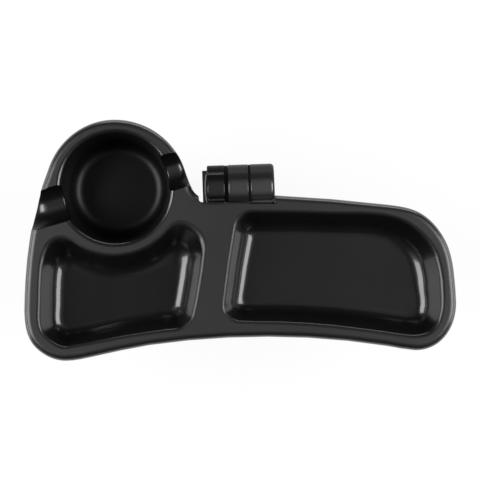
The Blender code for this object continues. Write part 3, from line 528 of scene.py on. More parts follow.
# Scales of the noises, ranges of them that show, and shares of each in a tone or a roughness
CLOUD_SCALE = 18.0
MARK_SCALE = 120.0
MARK_SQUEEZE = (1.0, 0.25, 1.0)
MARK_RANGE = (0.56, 0.72)
MARK_SHARE = 0.4
TONE_RANGE = (0.45, 1.0)
GRAIN_SHARE = 0.4
GLOSS_TILT = (0.015, 0.11)
PLASTIC_COAT_ROUGHNESS = 0.22
TRAY_ROUGHNESS = 0.46
TRAY_SPREAD = 0.05
TRAY_GRAIN_SCALE = 1500.0
TRAY_GRAIN_DEPTH = 0.000010
TRAY_DARKER = 0.76
TRAY_LIGHTER = 1.22
TARNISH_SCALE = 160.0
TARNISH_RANGE = (0.5, 1.0)
METAL_SPREAD = 0.14
TARNISH_SPREAD = 0.10
METAL_GRAIN_DEPTH = 0.000006
RUBBER_ROUGHNESS = 0.78
RUBBER_GRAIN_SCALE = 900.0
RUBBER_GRAIN_DEPTH = 0.00003
RUBBER_SPREAD = 0.12
DUST_SCALE = 90.0
DUST_RANGE = (0.50, 0.75)
DUST_COLOUR = (1.8, 1.75, 1.7)
DUST_ROUGHNESS = 0.06


class Value:
    """A socket of a finish's nodes that takes part in sums."""

    def __init__(self, finish, socket):
        self.finish = finish
        self.socket = socket

    def sum_of(self, operation, first, second):
        return self.finish.node("Math", {"operation": operation}, {0: first, 1: second})

    def __add__(self, other):
        return self.sum_of("ADD", self, other)

    __radd__ = __add__

    def __mul__(self, other):
        return self.sum_of("MULTIPLY", self, other)

    def __sub__(self, other):
        return self.sum_of("SUBTRACT", self, other)

    def __rsub__(self, other):
        return self.sum_of("SUBTRACT", other, self)


class Finish:
    """A material whose nodes are added one at a time."""

    def __init__(self, name, **settings):
        self.material = bpy.data.materials.new(name)
        self.material.use_nodes = True
        self.nodes = self.material.node_tree.nodes
        self.links = self.material.node_tree.links
        self.shader = self.nodes["Principled BSDF"]
        self.place = self.node("TexCoord", {}, {}, "Object")
        self.show(**settings)

    def put(self, node, socket, value):
        target = node.inputs[socket]
        if isinstance(value, Value):
            self.links.new(value.socket, target)
        elif hasattr(value, "__len__") and len(value) == 3 and target.type == "RGBA":
            target.default_value = (*value, 1.0)
        else:
            target.default_value = value

    def node(self, kind, settings, sockets, output=0):
        """A new node of a kind, with its settings first and then its sockets' values or links."""
        made = self.nodes.new("ShaderNode" + kind)
        for name, value in settings.items():
            setattr(made, name, value)
        for socket, value in sockets.items():
            self.put(made, socket, value)
        return Value(self, made.outputs[output])

    def noise(self, scale, detail=2.0, rough=0.5, squeeze=(1.0, 1.0, 1.0)):
        place = self.node("Mapping", {}, {"Vector": self.place, "Scale": squeeze})
        return self.node("TexNoise", {}, {"Vector": place, "Scale": scale, "Detail": detail,
                                          "Roughness": rough})

    def ranged(self, value, low, high, new_low=0.0, new_high=1.0):
        return self.node("MapRange", {"clamp": True},
                         {"Value": value, "From Min": low, "From Max": high,
                          "To Min": new_low, "To Max": new_high})

    def mixed(self, share, first, second):
        return self.node("Mix", {"data_type": "RGBA"}, {0: share, 6: first, 7: second}, 2)

    def bumped(self, height, distance):
        return self.node("Bump", {}, {"Height": height, "Distance": distance, "Strength": 1.0})

    def show(self, **settings):
        """Sets the shader's sockets, and gives the material."""
        for socket, value in settings.items():
            self.put(self.shader, socket.replace("_", " ").title().replace("Ior", "IOR"), value)
        return self.material


def moulded_surface(made, grain_scale, spread):
    """A moulding's tool grain, its tone with faint flow clouds, and how uneven its roughness is."""
    clouds = made.noise(CLOUD_SCALE, 3.0)
    grain = made.noise(grain_scale, 2.0)
    marks = made.ranged(made.noise(MARK_SCALE, 4.0, 0.6, MARK_SQUEEZE), *MARK_RANGE)
    tone = made.ranged(clouds + grain * GRAIN_SHARE, *TONE_RANGE)
    uneven = (clouds - 0.5) * spread + (grain - 0.5) * spread + marks * (spread * MARK_SHARE)
    return grain, tone, uneven


def moulded_plastic(name, dark, light, roughness, gleam, shine, gloss=1.0,
                    spread=0.04, grain_scale=1500.0, grain_depth=0.000004):
    """Black moulded plastic with fine grain, and a gloss that is full face on and gone at a slant."""
    made = Finish(name, coat_roughness=PLASTIC_COAT_ROUGHNESS, coat_ior=gleam, specular_ior_level=shine)
    tilt = made.node("LayerWeight", {}, {"Blend": 0.5}, 1)
    grain, tone, uneven = moulded_surface(made, grain_scale, spread)
    return made.show(base_color=made.mixed(tone, dark, light), roughness=roughness + uneven,
                     coat_weight=made.ranged(tilt, *GLOSS_TILT, gloss, 0.0),
                     normal=made.bumped(grain, grain_depth))


def tray_plastic(name, base, polish_depth, fade, gloss_roughness, smoother, shine):
    """The tray's black plastic: grained on the deck, with a gloss that sets in below it and may fade."""
    made = Finish(name, coat_roughness=gloss_roughness, specular_ior_level=shine)
    grain, tone, uneven = moulded_surface(made, TRAY_GRAIN_SCALE, TRAY_SPREAD)
    depth = DECK_TOP - made.node("SeparateXYZ", {}, {0: made.place}, 2)
    polish = made.ranged(depth, 0.0, polish_depth)
    return made.show(base_color=made.mixed(tone, [base * TRAY_DARKER] * 3, [base * TRAY_LIGHTER] * 3),
                     roughness=TRAY_ROUGHNESS + uneven - polish * smoother,
                     coat_weight=polish * made.ranged(depth, *fade),
                     normal=made.bumped(grain * (1.0 - polish), TRAY_GRAIN_DEPTH))


def metal(name, dark, light, roughness, grain_scale, squeeze):
    """Plated or plain metal with fine machining marks and a faint patchy tarnish."""
    made = Finish(name, metallic=1.0)
    marks = made.noise(grain_scale, 3.0, 0.6, squeeze)
    patches = made.noise(TARNISH_SCALE, 4.0, 0.6)
    tone = made.ranged(patches + marks * 0.5, *TARNISH_RANGE)
    uneven = (marks - 0.5) * METAL_SPREAD + (patches - 0.5) * TARNISH_SPREAD
    return made.show(base_color=made.mixed(tone, dark, light), roughness=roughness + uneven,
                     normal=made.bumped(marks, METAL_GRAIN_DEPTH))


def rubber(name, tone, shine):
    """Matt black rubber with a fine uneven grain and a little dust."""
    made = Finish(name, specular_ior_level=shine)
    grain = made.noise(RUBBER_GRAIN_SCALE, 4.0, 0.6)
    dust = made.ranged(made.noise(DUST_SCALE, 5.0, 0.65), *DUST_RANGE)
    return made.show(base_color=made.mixed(dust, [tone] * 3, [tone * share for share in DUST_COLOUR]),
                     roughness=RUBBER_ROUGHNESS + (grain - 0.5) * RUBBER_SPREAD + dust * DUST_ROUGHNESS,
                     normal=made.bumped(grain, RUBBER_GRAIN_DEPTH))


TRAY_BLACK = tray_plastic("textured_tray_black", base=0.0050, polish_depth=0.0012,
                          fade=(0.004, 0.012, 0.6, 0.3), gloss_roughness=0.14, smoother=0.15, shine=0.54)
WELL_BLACK = tray_plastic("polished_well_black", base=0.0030, polish_depth=0.0012,
                          fade=(0.0, 1.0, 0.6, 0.6), gloss_roughness=0.10, smoother=0.15, shine=0.35)
CUP_BLACK = tray_plastic("satin_cup_black", base=0.0036, polish_depth=0.0002,
                         fade=(0.0014, 0.0034, 1.0, 0.01), gloss_roughness=0.19, smoother=0.08,
                         shine=0.19)
GROOVE_BLACK = tray_plastic("polished_groove_black", base=0.0050, polish_depth=0.0001,
                            fade=(0.0, 1.0, 1.0, 1.0), gloss_roughness=0.10, smoother=0.20, shine=0.8)
HINGE_BLACK = moulded_plastic("satin_hinge_black", (0.0085, 0.0085, 0.0088), (0.0140, 0.0140, 0.0145),
                              roughness=0.38, gleam=2.3, shine=0.13, spread=0.06, grain_scale=1100.0,
                              grain_depth=0.000008)
KNOB_BLACK = moulded_plastic("gloss_knob_black", (0.0040, 0.0040, 0.0042), (0.0066, 0.0066, 0.0069),
                             roughness=0.30, gleam=1.8, shine=0.03, spread=0.03, grain_scale=1800.0)
# Painted shade: a black darker than the tray's and without gloss, for the barrel's cut-out and the
# thrust washer, standing in for the shade in these gaps.
RECESS_SHADE_BLACK = moulded_plastic("recess_painted_shade_black", (0.0022, 0.0022, 0.0023), (0.0034, 0.0034, 0.0036),
                               roughness=0.40, gleam=1.5, shine=0.02, gloss=0.0)
NOTCH_BLACK = moulded_plastic("satin_notch_black", (0.0024, 0.0024, 0.0025), (0.0038, 0.0038, 0.0040),
                              roughness=0.36, gleam=1.9, shine=0.12)
SCREW_ZINC = metal("zinc_plated_steel", (0.48, 0.49, 0.51), (0.60, 0.61, 0.63),
                   roughness=0.32, grain_scale=700.0, squeeze=(1.0, 1.0, 6.0))
CLIP_STEEL = metal("spring_steel", (0.34, 0.34, 0.35), (0.46, 0.46, 0.47),
                   roughness=0.30, grain_scale=900.0, squeeze=(6.0, 1.0, 1.0))
PLAIN_BRASS = metal("plain_brass", (0.66, 0.47, 0.19), (0.78, 0.58, 0.27),
                    roughness=0.30, grain_scale=800.0, squeeze=(1.0, 1.0, 5.0))
PAD_RUBBER = rubber("pad_rubber", tone=0.020, shine=0.35)
# Black rubber with its dust, partly painted shade: its tone is far darker than the pads' and stands in
# for the shade in the seam between the knuckles.
WASHER_SHADE_RUBBER = rubber("washer_rubber_painted_shade", tone=0.004, shine=0.05)


# Tray

def blended(rim, floor, share, height):
    """The ring that lies a share of the way from the rim loop to the floor loop."""
    return on_tray([a.lerp(b, share) for a, b in zip(rim, floor)], height)


def pocket(rim_stations, floor_stations):
    """The hollow and the outer body of one pocket."""
    rim, counts = headed_loop(rim_stations)
    floor = through(floor_stations, counts)
    shape = (POCKET_RUN, POCKET_DEPTH, POCKET_RIM_EDGE, POCKET_FLOOR_EDGE)
    inner = [(0.0, POCKET_RIM_EDGE), *well_section(*shape)]
    hollow = loft([blended(rim, floor, inward / POCKET_RUN, height) for inward, height in inner])
    outer = well_back(*shape)
    body = loft([blended(rim, floor, inward / POCKET_RUN, height) for inward, height in outer])
    return hollow, body


def tray_blank(foot, wall):
    """The tray's outer form, or the hollow one wall thickness inside it."""
    lean = math.tan(SKIRT_DRAFT)
    edge = SKIRT_EDGE
    if wall == 0:
        lip = LIP / 2
        rings = [on_tray(inset(foot, lip * inward), -SKIRT_HEIGHT + lip * rise)
                 for inward, rise in (*LIP_FOOT_STEPS, (lean, 1.0))]
        shoulder = edge * (1 - math.sin(SKIRT_DRAFT))
        reach = (SKIRT_HEIGHT - shoulder) * lean
        for step in range(EDGE_STEPS + 1):
            turn = (math.pi / 2 - SKIRT_DRAFT) * step / EDGE_STEPS
            inward = reach + edge * (math.cos(SKIRT_DRAFT) - math.cos(SKIRT_DRAFT + turn))
            rings.append(on_tray(inset(foot, inward), -edge * (1 - math.sin(SKIRT_DRAFT + turn))))
        return loft(rings)
    side = wall / math.cos(SKIRT_DRAFT)
    return loft([on_tray(inset(foot, side - wall * lean), -SKIRT_HEIGHT - wall),
                 on_tray(inset(foot, side + (SKIRT_HEIGHT - wall) * lean), -wall)])


def over_cup(bm):
    """A shape made about the origin, turned to the notches' line and moved over the cup well."""
    bmesh.ops.rotate(bm, matrix=Matrix.Rotation(NOTCH_ANGLE, 3, "Z"), verts=bm.verts)
    return shifted(bm, on_tray([on_plan(*CUP_PLACE)], 0.0)[0])


def cup_form(section):
    """The cup well's hollow or its outer body."""
    return over_cup(turned([(CUP_RIM_RADIUS - inward, height) for inward, height in section], 144))


def notch_section(radius, lip):
    """A trough's half-round section, rounded where it meets the deck."""
    start = math.degrees(math.asin(max(lip - NOTCH_CENTRE_DEPTH, 0.0) / radius))
    section = arc((0.0, -NOTCH_CENTRE_DEPTH), radius, 180 + start, 360 - start, 48)
    if lip:
        section += arc((radius + lip, -lip), lip, 180, 90, 5)[1:]
        section += [(radius + lip, CUP_RIM_EDGE), (-radius - lip, CUP_RIM_EDGE)]
        return section + arc((-radius - lip, -lip), lip, 90, 0, 5)[:-1]
    return section + [(radius, CUP_RIM_EDGE), (-radius, CUP_RIM_EDGE)]


def notch_bar(radius):
    """A half-round bar across the cup well, on the line of the two handle notches."""
    length = CUP_RIM_RADIUS * NOTCH_BAR_REACH
    return over_cup(prism(notch_section(radius, 0.0), -length, length, axis="X"))


def skirt_crossing(foot, side):
    """How far out the notches' line meets the skirt on one side, and the skirt's slant there."""
    middle = on_plan(*CUP_PLACE)
    along = Vector((math.cos(NOTCH_ANGLE), math.sin(NOTCH_ANGLE))) * side
    across = Vector((-along.y, along.x))
    for index, point in enumerate(foot):
        here, there = foot[index - 1] - middle, point - middle
        if here.dot(across) * there.dot(across) <= 0 and here.dot(along) > 0:
            share = here.dot(across) / (here.dot(across) - there.dot(across))
            run = there - here
            return (here.lerp(there, share)).dot(along), run.dot(along) / run.dot(across)


def cup_wall_radius(height):
    """The cup well's radius at a height from the deck, on its straight wall."""
    lean = wall_lean(CUP_RIM_RADIUS - CUP_FLOOR_RADIUS, CUP_DEPTH, CUP_RIM_EDGE, CUP_FLOOR_EDGE)
    below_edge = max(0.0, -height - CUP_RIM_EDGE * (1 - math.sin(lean)))
    return CUP_RIM_RADIUS - CUP_RIM_EDGE * math.cos(lean) - below_edge * math.tan(lean)


def notch(foot, side):
    """One handle notch: a trough with a bell mouth through the skirt and a small flare to the cup."""
    reach, slant = skirt_crossing(foot, side)
    mouth = min(NOTCH_FLARE_LENGTH, NOTCH_MOUTH_SHARE * (reach - CUP_RIM_RADIUS))
    rings = []

    def ring(flare, place_of):
        radius = NOTCH_RADIUS + flare * NOTCH_WIDENING
        deeper = (NOTCH_RADIUS + flare) / radius
        points = []
        for across, height in notch_section(radius, LIP):
            height = height * deeper if height < -LIP else height
            points.append(Vector((side * place_of(across, height), side * across, height)))
        rings.append(points)

    def by_cup(outward):
        return lambda across, height: math.sqrt(cup_wall_radius(height) ** 2 - across ** 2) + outward

    def by_skirt(inward):
        return lambda across, height: reach + slant * across - inward

    ring(NOTCH_INNER_FLARE, by_cup(-NOTCH_INNER_FLARE))
    for rise, run in quarter(6):
        ring(NOTCH_INNER_FLARE * (1 - rise), by_cup(NOTCH_INNER_FLARE * run))
    for rise, run in quarter(12):
        ring(NOTCH_FLARE * run, by_skirt(mouth * (1 - rise)))
    ring(NOTCH_FLARE, by_skirt(-NOTCH_FLARE))
    return over_cup(loft(rings))


def screw_places():
    """Where the bracket's screws stand along the tongue."""
    start, end = on_plan(*TONGUE_LINE[0]), on_plan(*TONGUE_LINE[1])
    along = (end - start).normalized()
    points = [start + along * (SCREW_INSET + SCREW_SPACING * index) for index in range(SCREW_COUNT)]
    return [Vector((point.x, point.y + HINGE.y, 0.0)) for point in points]


def barrel_gap():
    """The cut-out for the barrel, its upper edge rounded most along the barrel."""
    (left, right), beyond = BARREL_GAP, KNUCKLE_RADIUS

    def ring(share, height):
        far_left, far_right = left - GAP_LIP_LEFT * share, right + GAP_LIP_RIGHT * share
        depths = [depth - GAP_LIP_DEEP * share for depth in BARREL_GAP_DEPTH]
        corners = [(far_left - BARREL_GAP_FLARE, beyond, 0), (far_left, depths[0], BARREL_GAP_FILLET[0]),
                   (far_right, depths[1], BARREL_GAP_FILLET[1]), (far_right, beyond, 0)]
        return on_tray(rounded(corners), height)

    rings = [ring(0.0, -SKIRT_HEIGHT - SKIRT_EDGE)]
    rings += [ring(run, -GAP_LIP_DEEP * (1 - rise)) for rise, run in quarter(6)]
    return loft([*rings, ring(1.0, SKIRT_EDGE)])


def make_tray():
    foot = headed_loop(SKIRT_FOOT)[0]
    cup_shape = (CUP_RIM_RADIUS - CUP_FLOOR_RADIUS, CUP_DEPTH, CUP_RIM_EDGE, CUP_FLOOR_EDGE)
    underside = carved(tray_blank(foot, DECK_WALL),
                       [(CUT, notch_bar(NOTCH_RADIUS + DECK_WALL))], TRAY_BLACK)[0]
    large_hollow, large_body = pocket(LARGE_RIM, LARGE_FLOOR)
    small_hollow, small_body = pocket(SMALL_RIM, SMALL_FLOOR)
    boss_foot = DECK_TOP - DECK_WALL - BOSS_HEIGHT
    boss = [(BOSS_RADIUS, boss_foot), (BOSS_RADIUS, DECK_TOP - DECK_WALL / 2)]
    pilot = [(PILOT_RADIUS, boss_foot - BOSS_RADIUS), (PILOT_RADIUS, boss_foot + PILOT_TOP)]
    (left, right), inner = BARREL_GAP, HINGE.y - BRACKET_CLEARANCE
    skirt_gap = box((left, inner, DECK_TOP - SKIRT_HEIGHT - SKIRT_EDGE),
                    (right, HINGE.y + KNUCKLE_RADIUS, DECK_TOP - DECK_WALL))
    steps = [(CUT, underside), (JOIN, large_body), (JOIN, small_body),
             (JOIN, cup_form(well_back(*cup_shape)))]
    steps += [(JOIN, turned(boss, 40, place=place)) for place in screw_places()]
    steps += [(CUT, large_hollow, WELL_BLACK), (CUT, small_hollow, WELL_BLACK),
              (CUT, cup_form([(0.0, CUP_RIM_EDGE), *well_section(*cup_shape)]), CUP_BLACK),
              (CUT, notch(foot, -1), NOTCH_BLACK), (CUT, notch(foot, 1), NOTCH_BLACK)]
    steps += [(CUT, turned(pilot, 24, place=place)) for place in screw_places()]
    # The barrel's cut-out gets the darker black of painted shade.
    steps += [(CUT, barrel_gap(), RECESS_SHADE_BLACK), (CUT, skirt_gap)]
    piece("snack_tray", *carved(tray_blank(foot, 0), steps, TRAY_BLACK), "tray", "tray_shell")


# Hinge barrel and bracket

def barrel(left, right, left_edge, right_edge):
    """A knuckle turned about the hinge axis, with rounded ends."""
    radius = KNUCKLE_RADIUS
    profile = [(0.0, left)]
    profile += [(radius - left_edge * (1 - rise), left + left_edge * run) for rise, run in quarter(8)]
    profile += [(radius - right_edge * run, right - right_edge * (1 - rise)) for rise, run in quarter(8)]
    profile.append((0.0, right))
    return turned(profile, 128, "X", HINGE)


def hinge_bore(radius, left, right):
    """A round hole along the hinge axis."""
    return rod(radius, left, right, 48, "X", HINGE)


def corner_radius(flats):
    """A hexagon's reach to its corners, from its width across the flats."""
    return flats / 2 / math.cos(math.pi / 6)


def hexagon(flats):
    """A hexagon's corners, from its width across the flats."""
    return arc((0.0, 0.0), corner_radius(flats), 30, 330, 5)


def eased(bm, width, least_angle=35.0, segments=3):
    """The solid with its sharp edges rounded."""
    least = math.radians(least_angle)
    sharp = [edge for edge in bm.edges if edge.is_manifold and edge.calc_face_angle() > least]
    bmesh.ops.bevel(bm, geom=sharp, offset=width, offset_type="OFFSET", segments=segments, profile=0.5,
                    affect="EDGES", clamp_overlap=True, material=-1)
    return bm


def tongue():
    """The bracket's flat tongue, which the tray is screwed to."""
    start, end = on_plan(*TONGUE_LINE[0]), on_plan(*TONGUE_LINE[1])
    along = (end - start).normalized()
    side = Vector((-along.y, along.x)) * TONGUE_WIDTH / 2
    plan = [(point.x, point.y) for point in (start + side, start - side, end - side, end + side)]
    return eased(prism(plan, BRACKET_TAIL, TONGUE_TOP, place=HINGE), TONGUE_EDGE)


def make_hinge_bracket():
    left, right = TRAY_KNUCKLE
    outer = -BRACKET_CLEARANCE - BEAM_WALL
    back = -BRACKET_CLEARANCE - BEAM_WALL / 2
    flank = right - KNUCKLE_END_EDGE
    beam = arc((0.0, 0.0), BRACKET_CLEARANCE, 180 - half_turn(UNDER_DECK, BRACKET_CLEARANCE),
               180 - half_turn(BRACKET_TAIL, BRACKET_CLEARANCE), 24)
    beam += [(outer, BRACKET_TAIL), (outer, TONGUE_TOP), (outer + BEAM_SLOPE, UNDER_DECK)]
    root = [(RIDGE_HEEL, BRACKET_TAIL), (back, BRACKET_TAIL), (back, TONGUE_TOP),
            (back + BEAM_SLOPE, UNDER_DECK), (RIDGE_BACK, UNDER_DECK),
            (RIDGE_BACK, RIDGE_TOP - 3 * RIDGE_CREST)]
    root += arc((RIDGE_HEEL - 2 * RIDGE_CREST, RIDGE_TOP - RIDGE_CREST), RIDGE_CREST, RIDGE_BEND, 0, 8)
    web = box(HINGE + Vector((flank - WEB_ROOT, -WEB_REACH, BRACKET_TAIL)),
              HINGE + Vector((right + WEB_OVERHANG, RIDGE_HEEL, UNDER_DECK - WEB_DROP)))
    pocket = prism(hexagon(HEX_POCKET_FLATS), right - BOLT_HEAD_HEIGHT - 2 * FIT, right + KNUCKLE_EDGE,
                   "X", HINGE)
    steps = [(JOIN, prism(beam, BEAM_LEFT, flank, "X", HINGE)),
             (JOIN, prism(root, left + KNUCKLE_EDGE, flank, "X", HINGE)),
             (JOIN, web), (JOIN, tongue()),
             (CUT, hinge_bore(BORE_RADIUS, left - KNUCKLE_EDGE, right)), (CUT, pocket)]
    steps += [(CUT, rod(PILOT_RADIUS, HINGE.z, DECK_TOP, 24, place=place))
              for place in screw_places()]
    knuckle = barrel(left, right, KNUCKLE_SEAM_EDGE, KNUCKLE_END_EDGE)
    piece("hinge_bracket_moulding", *carved(knuckle, steps, HINGE_BLACK), "tray", "hinge_bracket")


# Bar clamp

def saddle(radius, upward, half_angle, steps, rib=0.0):
    """An arc over or under the bar, from the child's side to the spine, ribbed if rib isn't 0."""
    side = 1 if upward else -1
    points = []
    for step in range(steps + 1):
        turn = math.radians(half_angle * (1 - 2 * step / steps))
        reach = radius + rib * (0.5 - 0.5 * math.cos(2 * math.pi * step / RIB_STEPS))
        points.append((-reach * math.sin(turn), side * (SADDLE_CENTRE + reach * math.cos(turn))))
    return points


def bush(gap, cut):
    """The clamp's flanged brass bush with its edges cut off, or with a gap round it the seat for it."""
    low, high, shoulder = LOWER_ARM_BOTTOM - gap, LOWER_ARM_TOP + gap, BUSH_SHOULDER - gap
    narrow, wide = INSERT_RADIUS + gap, INSERT_FLANGE_RADIUS + gap
    return [(0.0, low), *chamfered(narrow, low, shoulder, cut)[:2], (narrow, shoulder),
            (wide, shoulder), *chamfered(wide, shoulder, high, cut)[2:], (0.0, high)]


def make_clamp_frame():
    half = half_turn(ARM_REACH - PAD_INSET / 2, PAD_SEAT_RADIUS)
    root = half_turn(SPINE_INNER, PAD_SEAT_RADIUS)
    hollow = arc((0.0, SADDLE_CENTRE), PAD_SEAT_RADIUS, 90 + half, 90 - root, 32)
    corner = CLAMP_WALL / 2
    section = rounded([(-ARM_REACH, LOWER_ARM_TOP, 0), (-ARM_REACH, LOWER_ARM_BOTTOM, corner),
                       (SPINE_OUTER, LOWER_ARM_BOTTOM, corner), (SPINE_OUTER, UPPER_ARM_TOP, corner),
                       (-ARM_REACH, UPPER_ARM_TOP, corner),
                       (-ARM_REACH, hollow[0][1] - PAD_INSET / 2, 0)])
    section += [Vector(point) for point in hollow] + [Vector((SPINE_INNER, LOWER_ARM_TOP))]
    body = eased(prism(section, -CLAMP_WIDTH / 2, CLAMP_WIDTH / 2, "X"), CLAMP_EDGE, least_angle=60.0)
    left, right = CLAMP_KNUCKLE
    neck = box((left + NECK_INSET, HINGE.y - NECK_WIDTH / 2, UPPER_ARM_TOP - CLAMP_WALL / 2),
               (right - NECK_INSET, HINGE.y + NECK_WIDTH / 2, HINGE.z - KNUCKLE_RADIUS / 3))
    steps = [(JOIN, barrel(left, right, KNUCKLE_EDGE, KNUCKLE_SEAM_EDGE)), (JOIN, neck),
             (CUT, hinge_bore(BORE_RADIUS, left - KNUCKLE_EDGE, right + KNUCKLE_EDGE)),
             (CUT, turned(bush(FIT, 0.0), 64))]
    piece("clamp_frame_moulding", *carved(body, steps, HINGE_BLACK), "clamp", "clamp_frame")


def make_clamp_jaw():
    half = half_turn(ARM_REACH - PAD_INSET / 2, PAD_SEAT_RADIUS)
    top = saddle(PAD_SEAT_RADIUS, False, half, 36)
    guide = SPINE_INNER - RUN_FIT
    section = [(-ARM_REACH, top[0][1]), *top, (guide, top[-1][1]), (guide, JAW_BOTTOM),
               (-ARM_REACH + JAW_WEB, JAW_BOTTOM), (-ARM_REACH, JAW_BOTTOM + JAW_WEB)]
    side = CLAMP_WIDTH / 2 - PAD_INSET / 2
    steps = [(CUT, rod(COLLAR_RADIUS + 2 * RUN_FIT, JAW_BOTTOM + JAW_WEB, 0.0)),
             (CUT, rod(SPINDLE_RADIUS + RUN_FIT, JAW_BOTTOM - JAW_WEB, 0.0))]
    block = eased(prism(section, -side, side, "X"), CLAMP_EDGE, least_angle=40.0)
    piece("clamp_jaw_moulding", *carved(block, steps, HINGE_BLACK), "jaw", "clamp_jaw")


def make_pad(name, upward, body, node):
    """A rubber pad with fine ribs along the bar."""
    half = half_turn(ARM_REACH - PAD_INSET, PAD_SEAT_RADIUS - FIT)
    inner = saddle(SADDLE_RADIUS, upward, half, PAD_RIBS * RIB_STEPS, RIB_HEIGHT)
    outer = saddle(SADDLE_RADIUS + PAD_THICKNESS, upward, half, 48)[::-1]
    length = CLAMP_WIDTH / 2 - PAD_INSET
    piece(name, prism(inner + outer, -length, length, "X"), [PAD_RUBBER], body, node)


# Hand knobs

def lobed(radius, phase):
    """A knob's outline: wide lobes, and between them narrow grooves with rounded corners."""
    half = 180 / KNOB_LOBES
    margin = math.degrees(KNOB_GROOVE_RADIUS / radius) * KNOB_GROOVE_MARGIN
    outline = []
    for lobe in range(KNOB_LOBES):
        middle = 90 + phase + lobe * 2 * half
        outline += arc((0.0, 0.0), radius, middle - half + margin, middle + half - margin, 28)
        groove = middle + half
        inwards = groove - 180
        outline += arc(ahead(groove) * radius, KNOB_GROOVE_RADIUS, inwards + KNOB_GROOVE_TURN,
                       inwards - KNOB_GROOVE_TURN, 12)
    return outline


def knob_body(axis, low, high, place, phase=0):
    """A lobed knob whose grooves and ends are rounded."""
    rings = []
    levels = [(low + KNOB_EDGE * run, KNOB_EDGE * (1 - rise)) for rise, run in quarter(6)]
    levels += [(high - KNOB_EDGE * (1 - rise), KNOB_EDGE * run) for rise, run in quarter(6)]
    for height, drawn_in in levels:
        ring = lobed(KNOB_RADIUS - drawn_in, phase)
        rings.append([facing(a, b, height, axis) + Vector(place) for a, b in ring])
    return loft(rings)


def pin_hole():
    """The cross hole for the pin through the clamp's knob and screw."""
    return rod(PIN_RADIUS + FIT, -2 * PIN_HALF, 2 * PIN_HALF, 24, "X", (0.0, 0.0, PIN_HEIGHT))


def make_tilt_knob():
    recess = KNOB[0] + KNOB_CAP_RECESS
    nut_right = recess + FIT + NUT_HEIGHT + FIT
    steps = [(CUT, hinge_bore(BORE_RADIUS, recess, KNOB[1] + KNOB_EDGE)),
             (CUT, prism(hexagon(HEX_POCKET_FLATS), recess - KNOB_EDGE, nut_right, "X", HINGE)),
             (CUT, hinge_bore(KNOB_CAP_RADIUS + FIT, KNOB[0] - KNOB_EDGE, recess))]
    knob, finishes = carved(knob_body("X", *KNOB, HINGE, KNOB_PHASE), steps, KNOB_BLACK)
    for face in knob.faces:
        reach = (face.calc_center_median() - HINGE).yz.length
        in_groove = KNOB_CAP_RADIUS + KNOB_EDGE < reach < KNOB_RADIUS - KNOB_EDGE / 2
        if in_groove and abs(face.normal.x) < KNOB_SIDEWAYS:
            face.material_index = len(finishes)
    piece("tilt_knob_body", knob, [*finishes, GROOVE_BLACK], "knob", "tilt_knob")


def make_knob_cap():
    foot = KNOB[0] + KNOB_CAP_RECESS - FIT
    profile = [(0.0, foot), (KNOB_CAP_RADIUS, foot)]
    profile += [(KNOB_CAP_RADIUS * (1 - run), KNOB[0] - KNOB_CAP_DOME * rise)
                for rise, run in quarter(24)[:-1]]
    profile.append((0.0, KNOB[0] - KNOB_CAP_DOME))
    piece("tilt_knob_cap", turned(profile, 96, "X", HINGE), [KNOB_BLACK], "knob", "knob_cap")


def make_clamp_knob():
    bottom = CLAMP_KNOB_TOP - KNOB_LENGTH
    bore = rod(SPINDLE_RADIUS + FIT, SPINDLE_FOOT - FIT, CLAMP_KNOB_TOP + FIT)
    steps = [(CUT, bore), (CUT, pin_hole())]
    blank = knob_body("Z", bottom, CLAMP_KNOB_TOP, ORIGIN)
    piece("clamp_knob_body", *carved(blank, steps, KNOB_BLACK), "spindle", "clamp_knob")


# Screws, nuts and washers

def thread(radius, depth, pitch, low, high, around=40, starts=1):
    """A right-hand screw thread as a solid that climbs along +Z."""
    count = math.ceil((high - low) / pitch * THREAD_STEPS)
    rings = []
    for level in range(count + 1):
        height = low + (high - low) * level / count
        ring = []
        for step in range(around):
            share = (height / pitch - starts * step / around) % 1.0
            reach = radius - depth * min(1.0, THREAD_FLANK * abs(share - 0.5))
            turn = 2 * math.pi * step / around
            ring.append(Vector((reach * math.cos(turn), reach * math.sin(turn), height)))
        rings.append(ring)
    return loft(rings)


def laid(bm, left):
    """A solid made along +Z, laid along the hinge axis with its foot at a place on it."""
    bmesh.ops.rotate(bm, matrix=Matrix.Rotation(math.pi / 2, 3, "Y"), verts=bm.verts)
    return shifted(bm, (left, HINGE.y, HINGE.z))


def chamfered_hex(low, high, both):
    """A hexagon for the bolt's head or its nut, its corners turned off at one end or at both."""
    corner = corner_radius(BOLT_FLATS)
    face = BOLT_FLATS / 2 * HEX_FACE_SHARE
    cut = (corner - face) * HEX_CUT_SHARE
    foot = [(face, low), (corner, low + cut)] if both else [(corner, low)]
    profile = [(0.0, low), *foot, (corner, high - cut), (face, high), (0.0, high)]
    return carved(prism(hexagon(BOLT_FLATS), low, high), [(KEEP, turned(profile, 96))])[0]


def make_tilt_bolt():
    length = BOLT_HEAD_LEFT - BOLT_TIP
    foot, clear, slope = (SPINDLE_RADIUS * share for share in BOLT_POINT)
    shank = thread(SPINDLE_RADIUS, THREAD_DEPTH, THREAD_PITCH, 0.0, BOLT_THREAD)
    top = 2 * NUT_HEIGHT
    point = turned([(0.0, 0.0), (foot, 0.0), (clear, slope), (clear, top), (0.0, top)], 48)
    plain = rod(SPINDLE_RADIUS, BOLT_PLAIN, length + 2 * BEYOND, 64)
    head = chamfered_hex(length, length + BOLT_HEAD_HEIGHT, False)
    flat = box((-SPINDLE_RADIUS, -clear, -BEYOND),
               (-SPINDLE_RADIUS + BOLT_FLAT_DEPTH, clear, CLAMP_KNUCKLE[0] - BOLT_TIP))
    steps = [(KEEP, point), (JOIN, plain), (JOIN, head), (CUT, flat)]
    bolt, finishes = carved(shank, steps, SCREW_ZINC)
    piece("tilt_bolt_turned", laid(bolt, BOLT_TIP), finishes, "tray", "tilt_bolt")


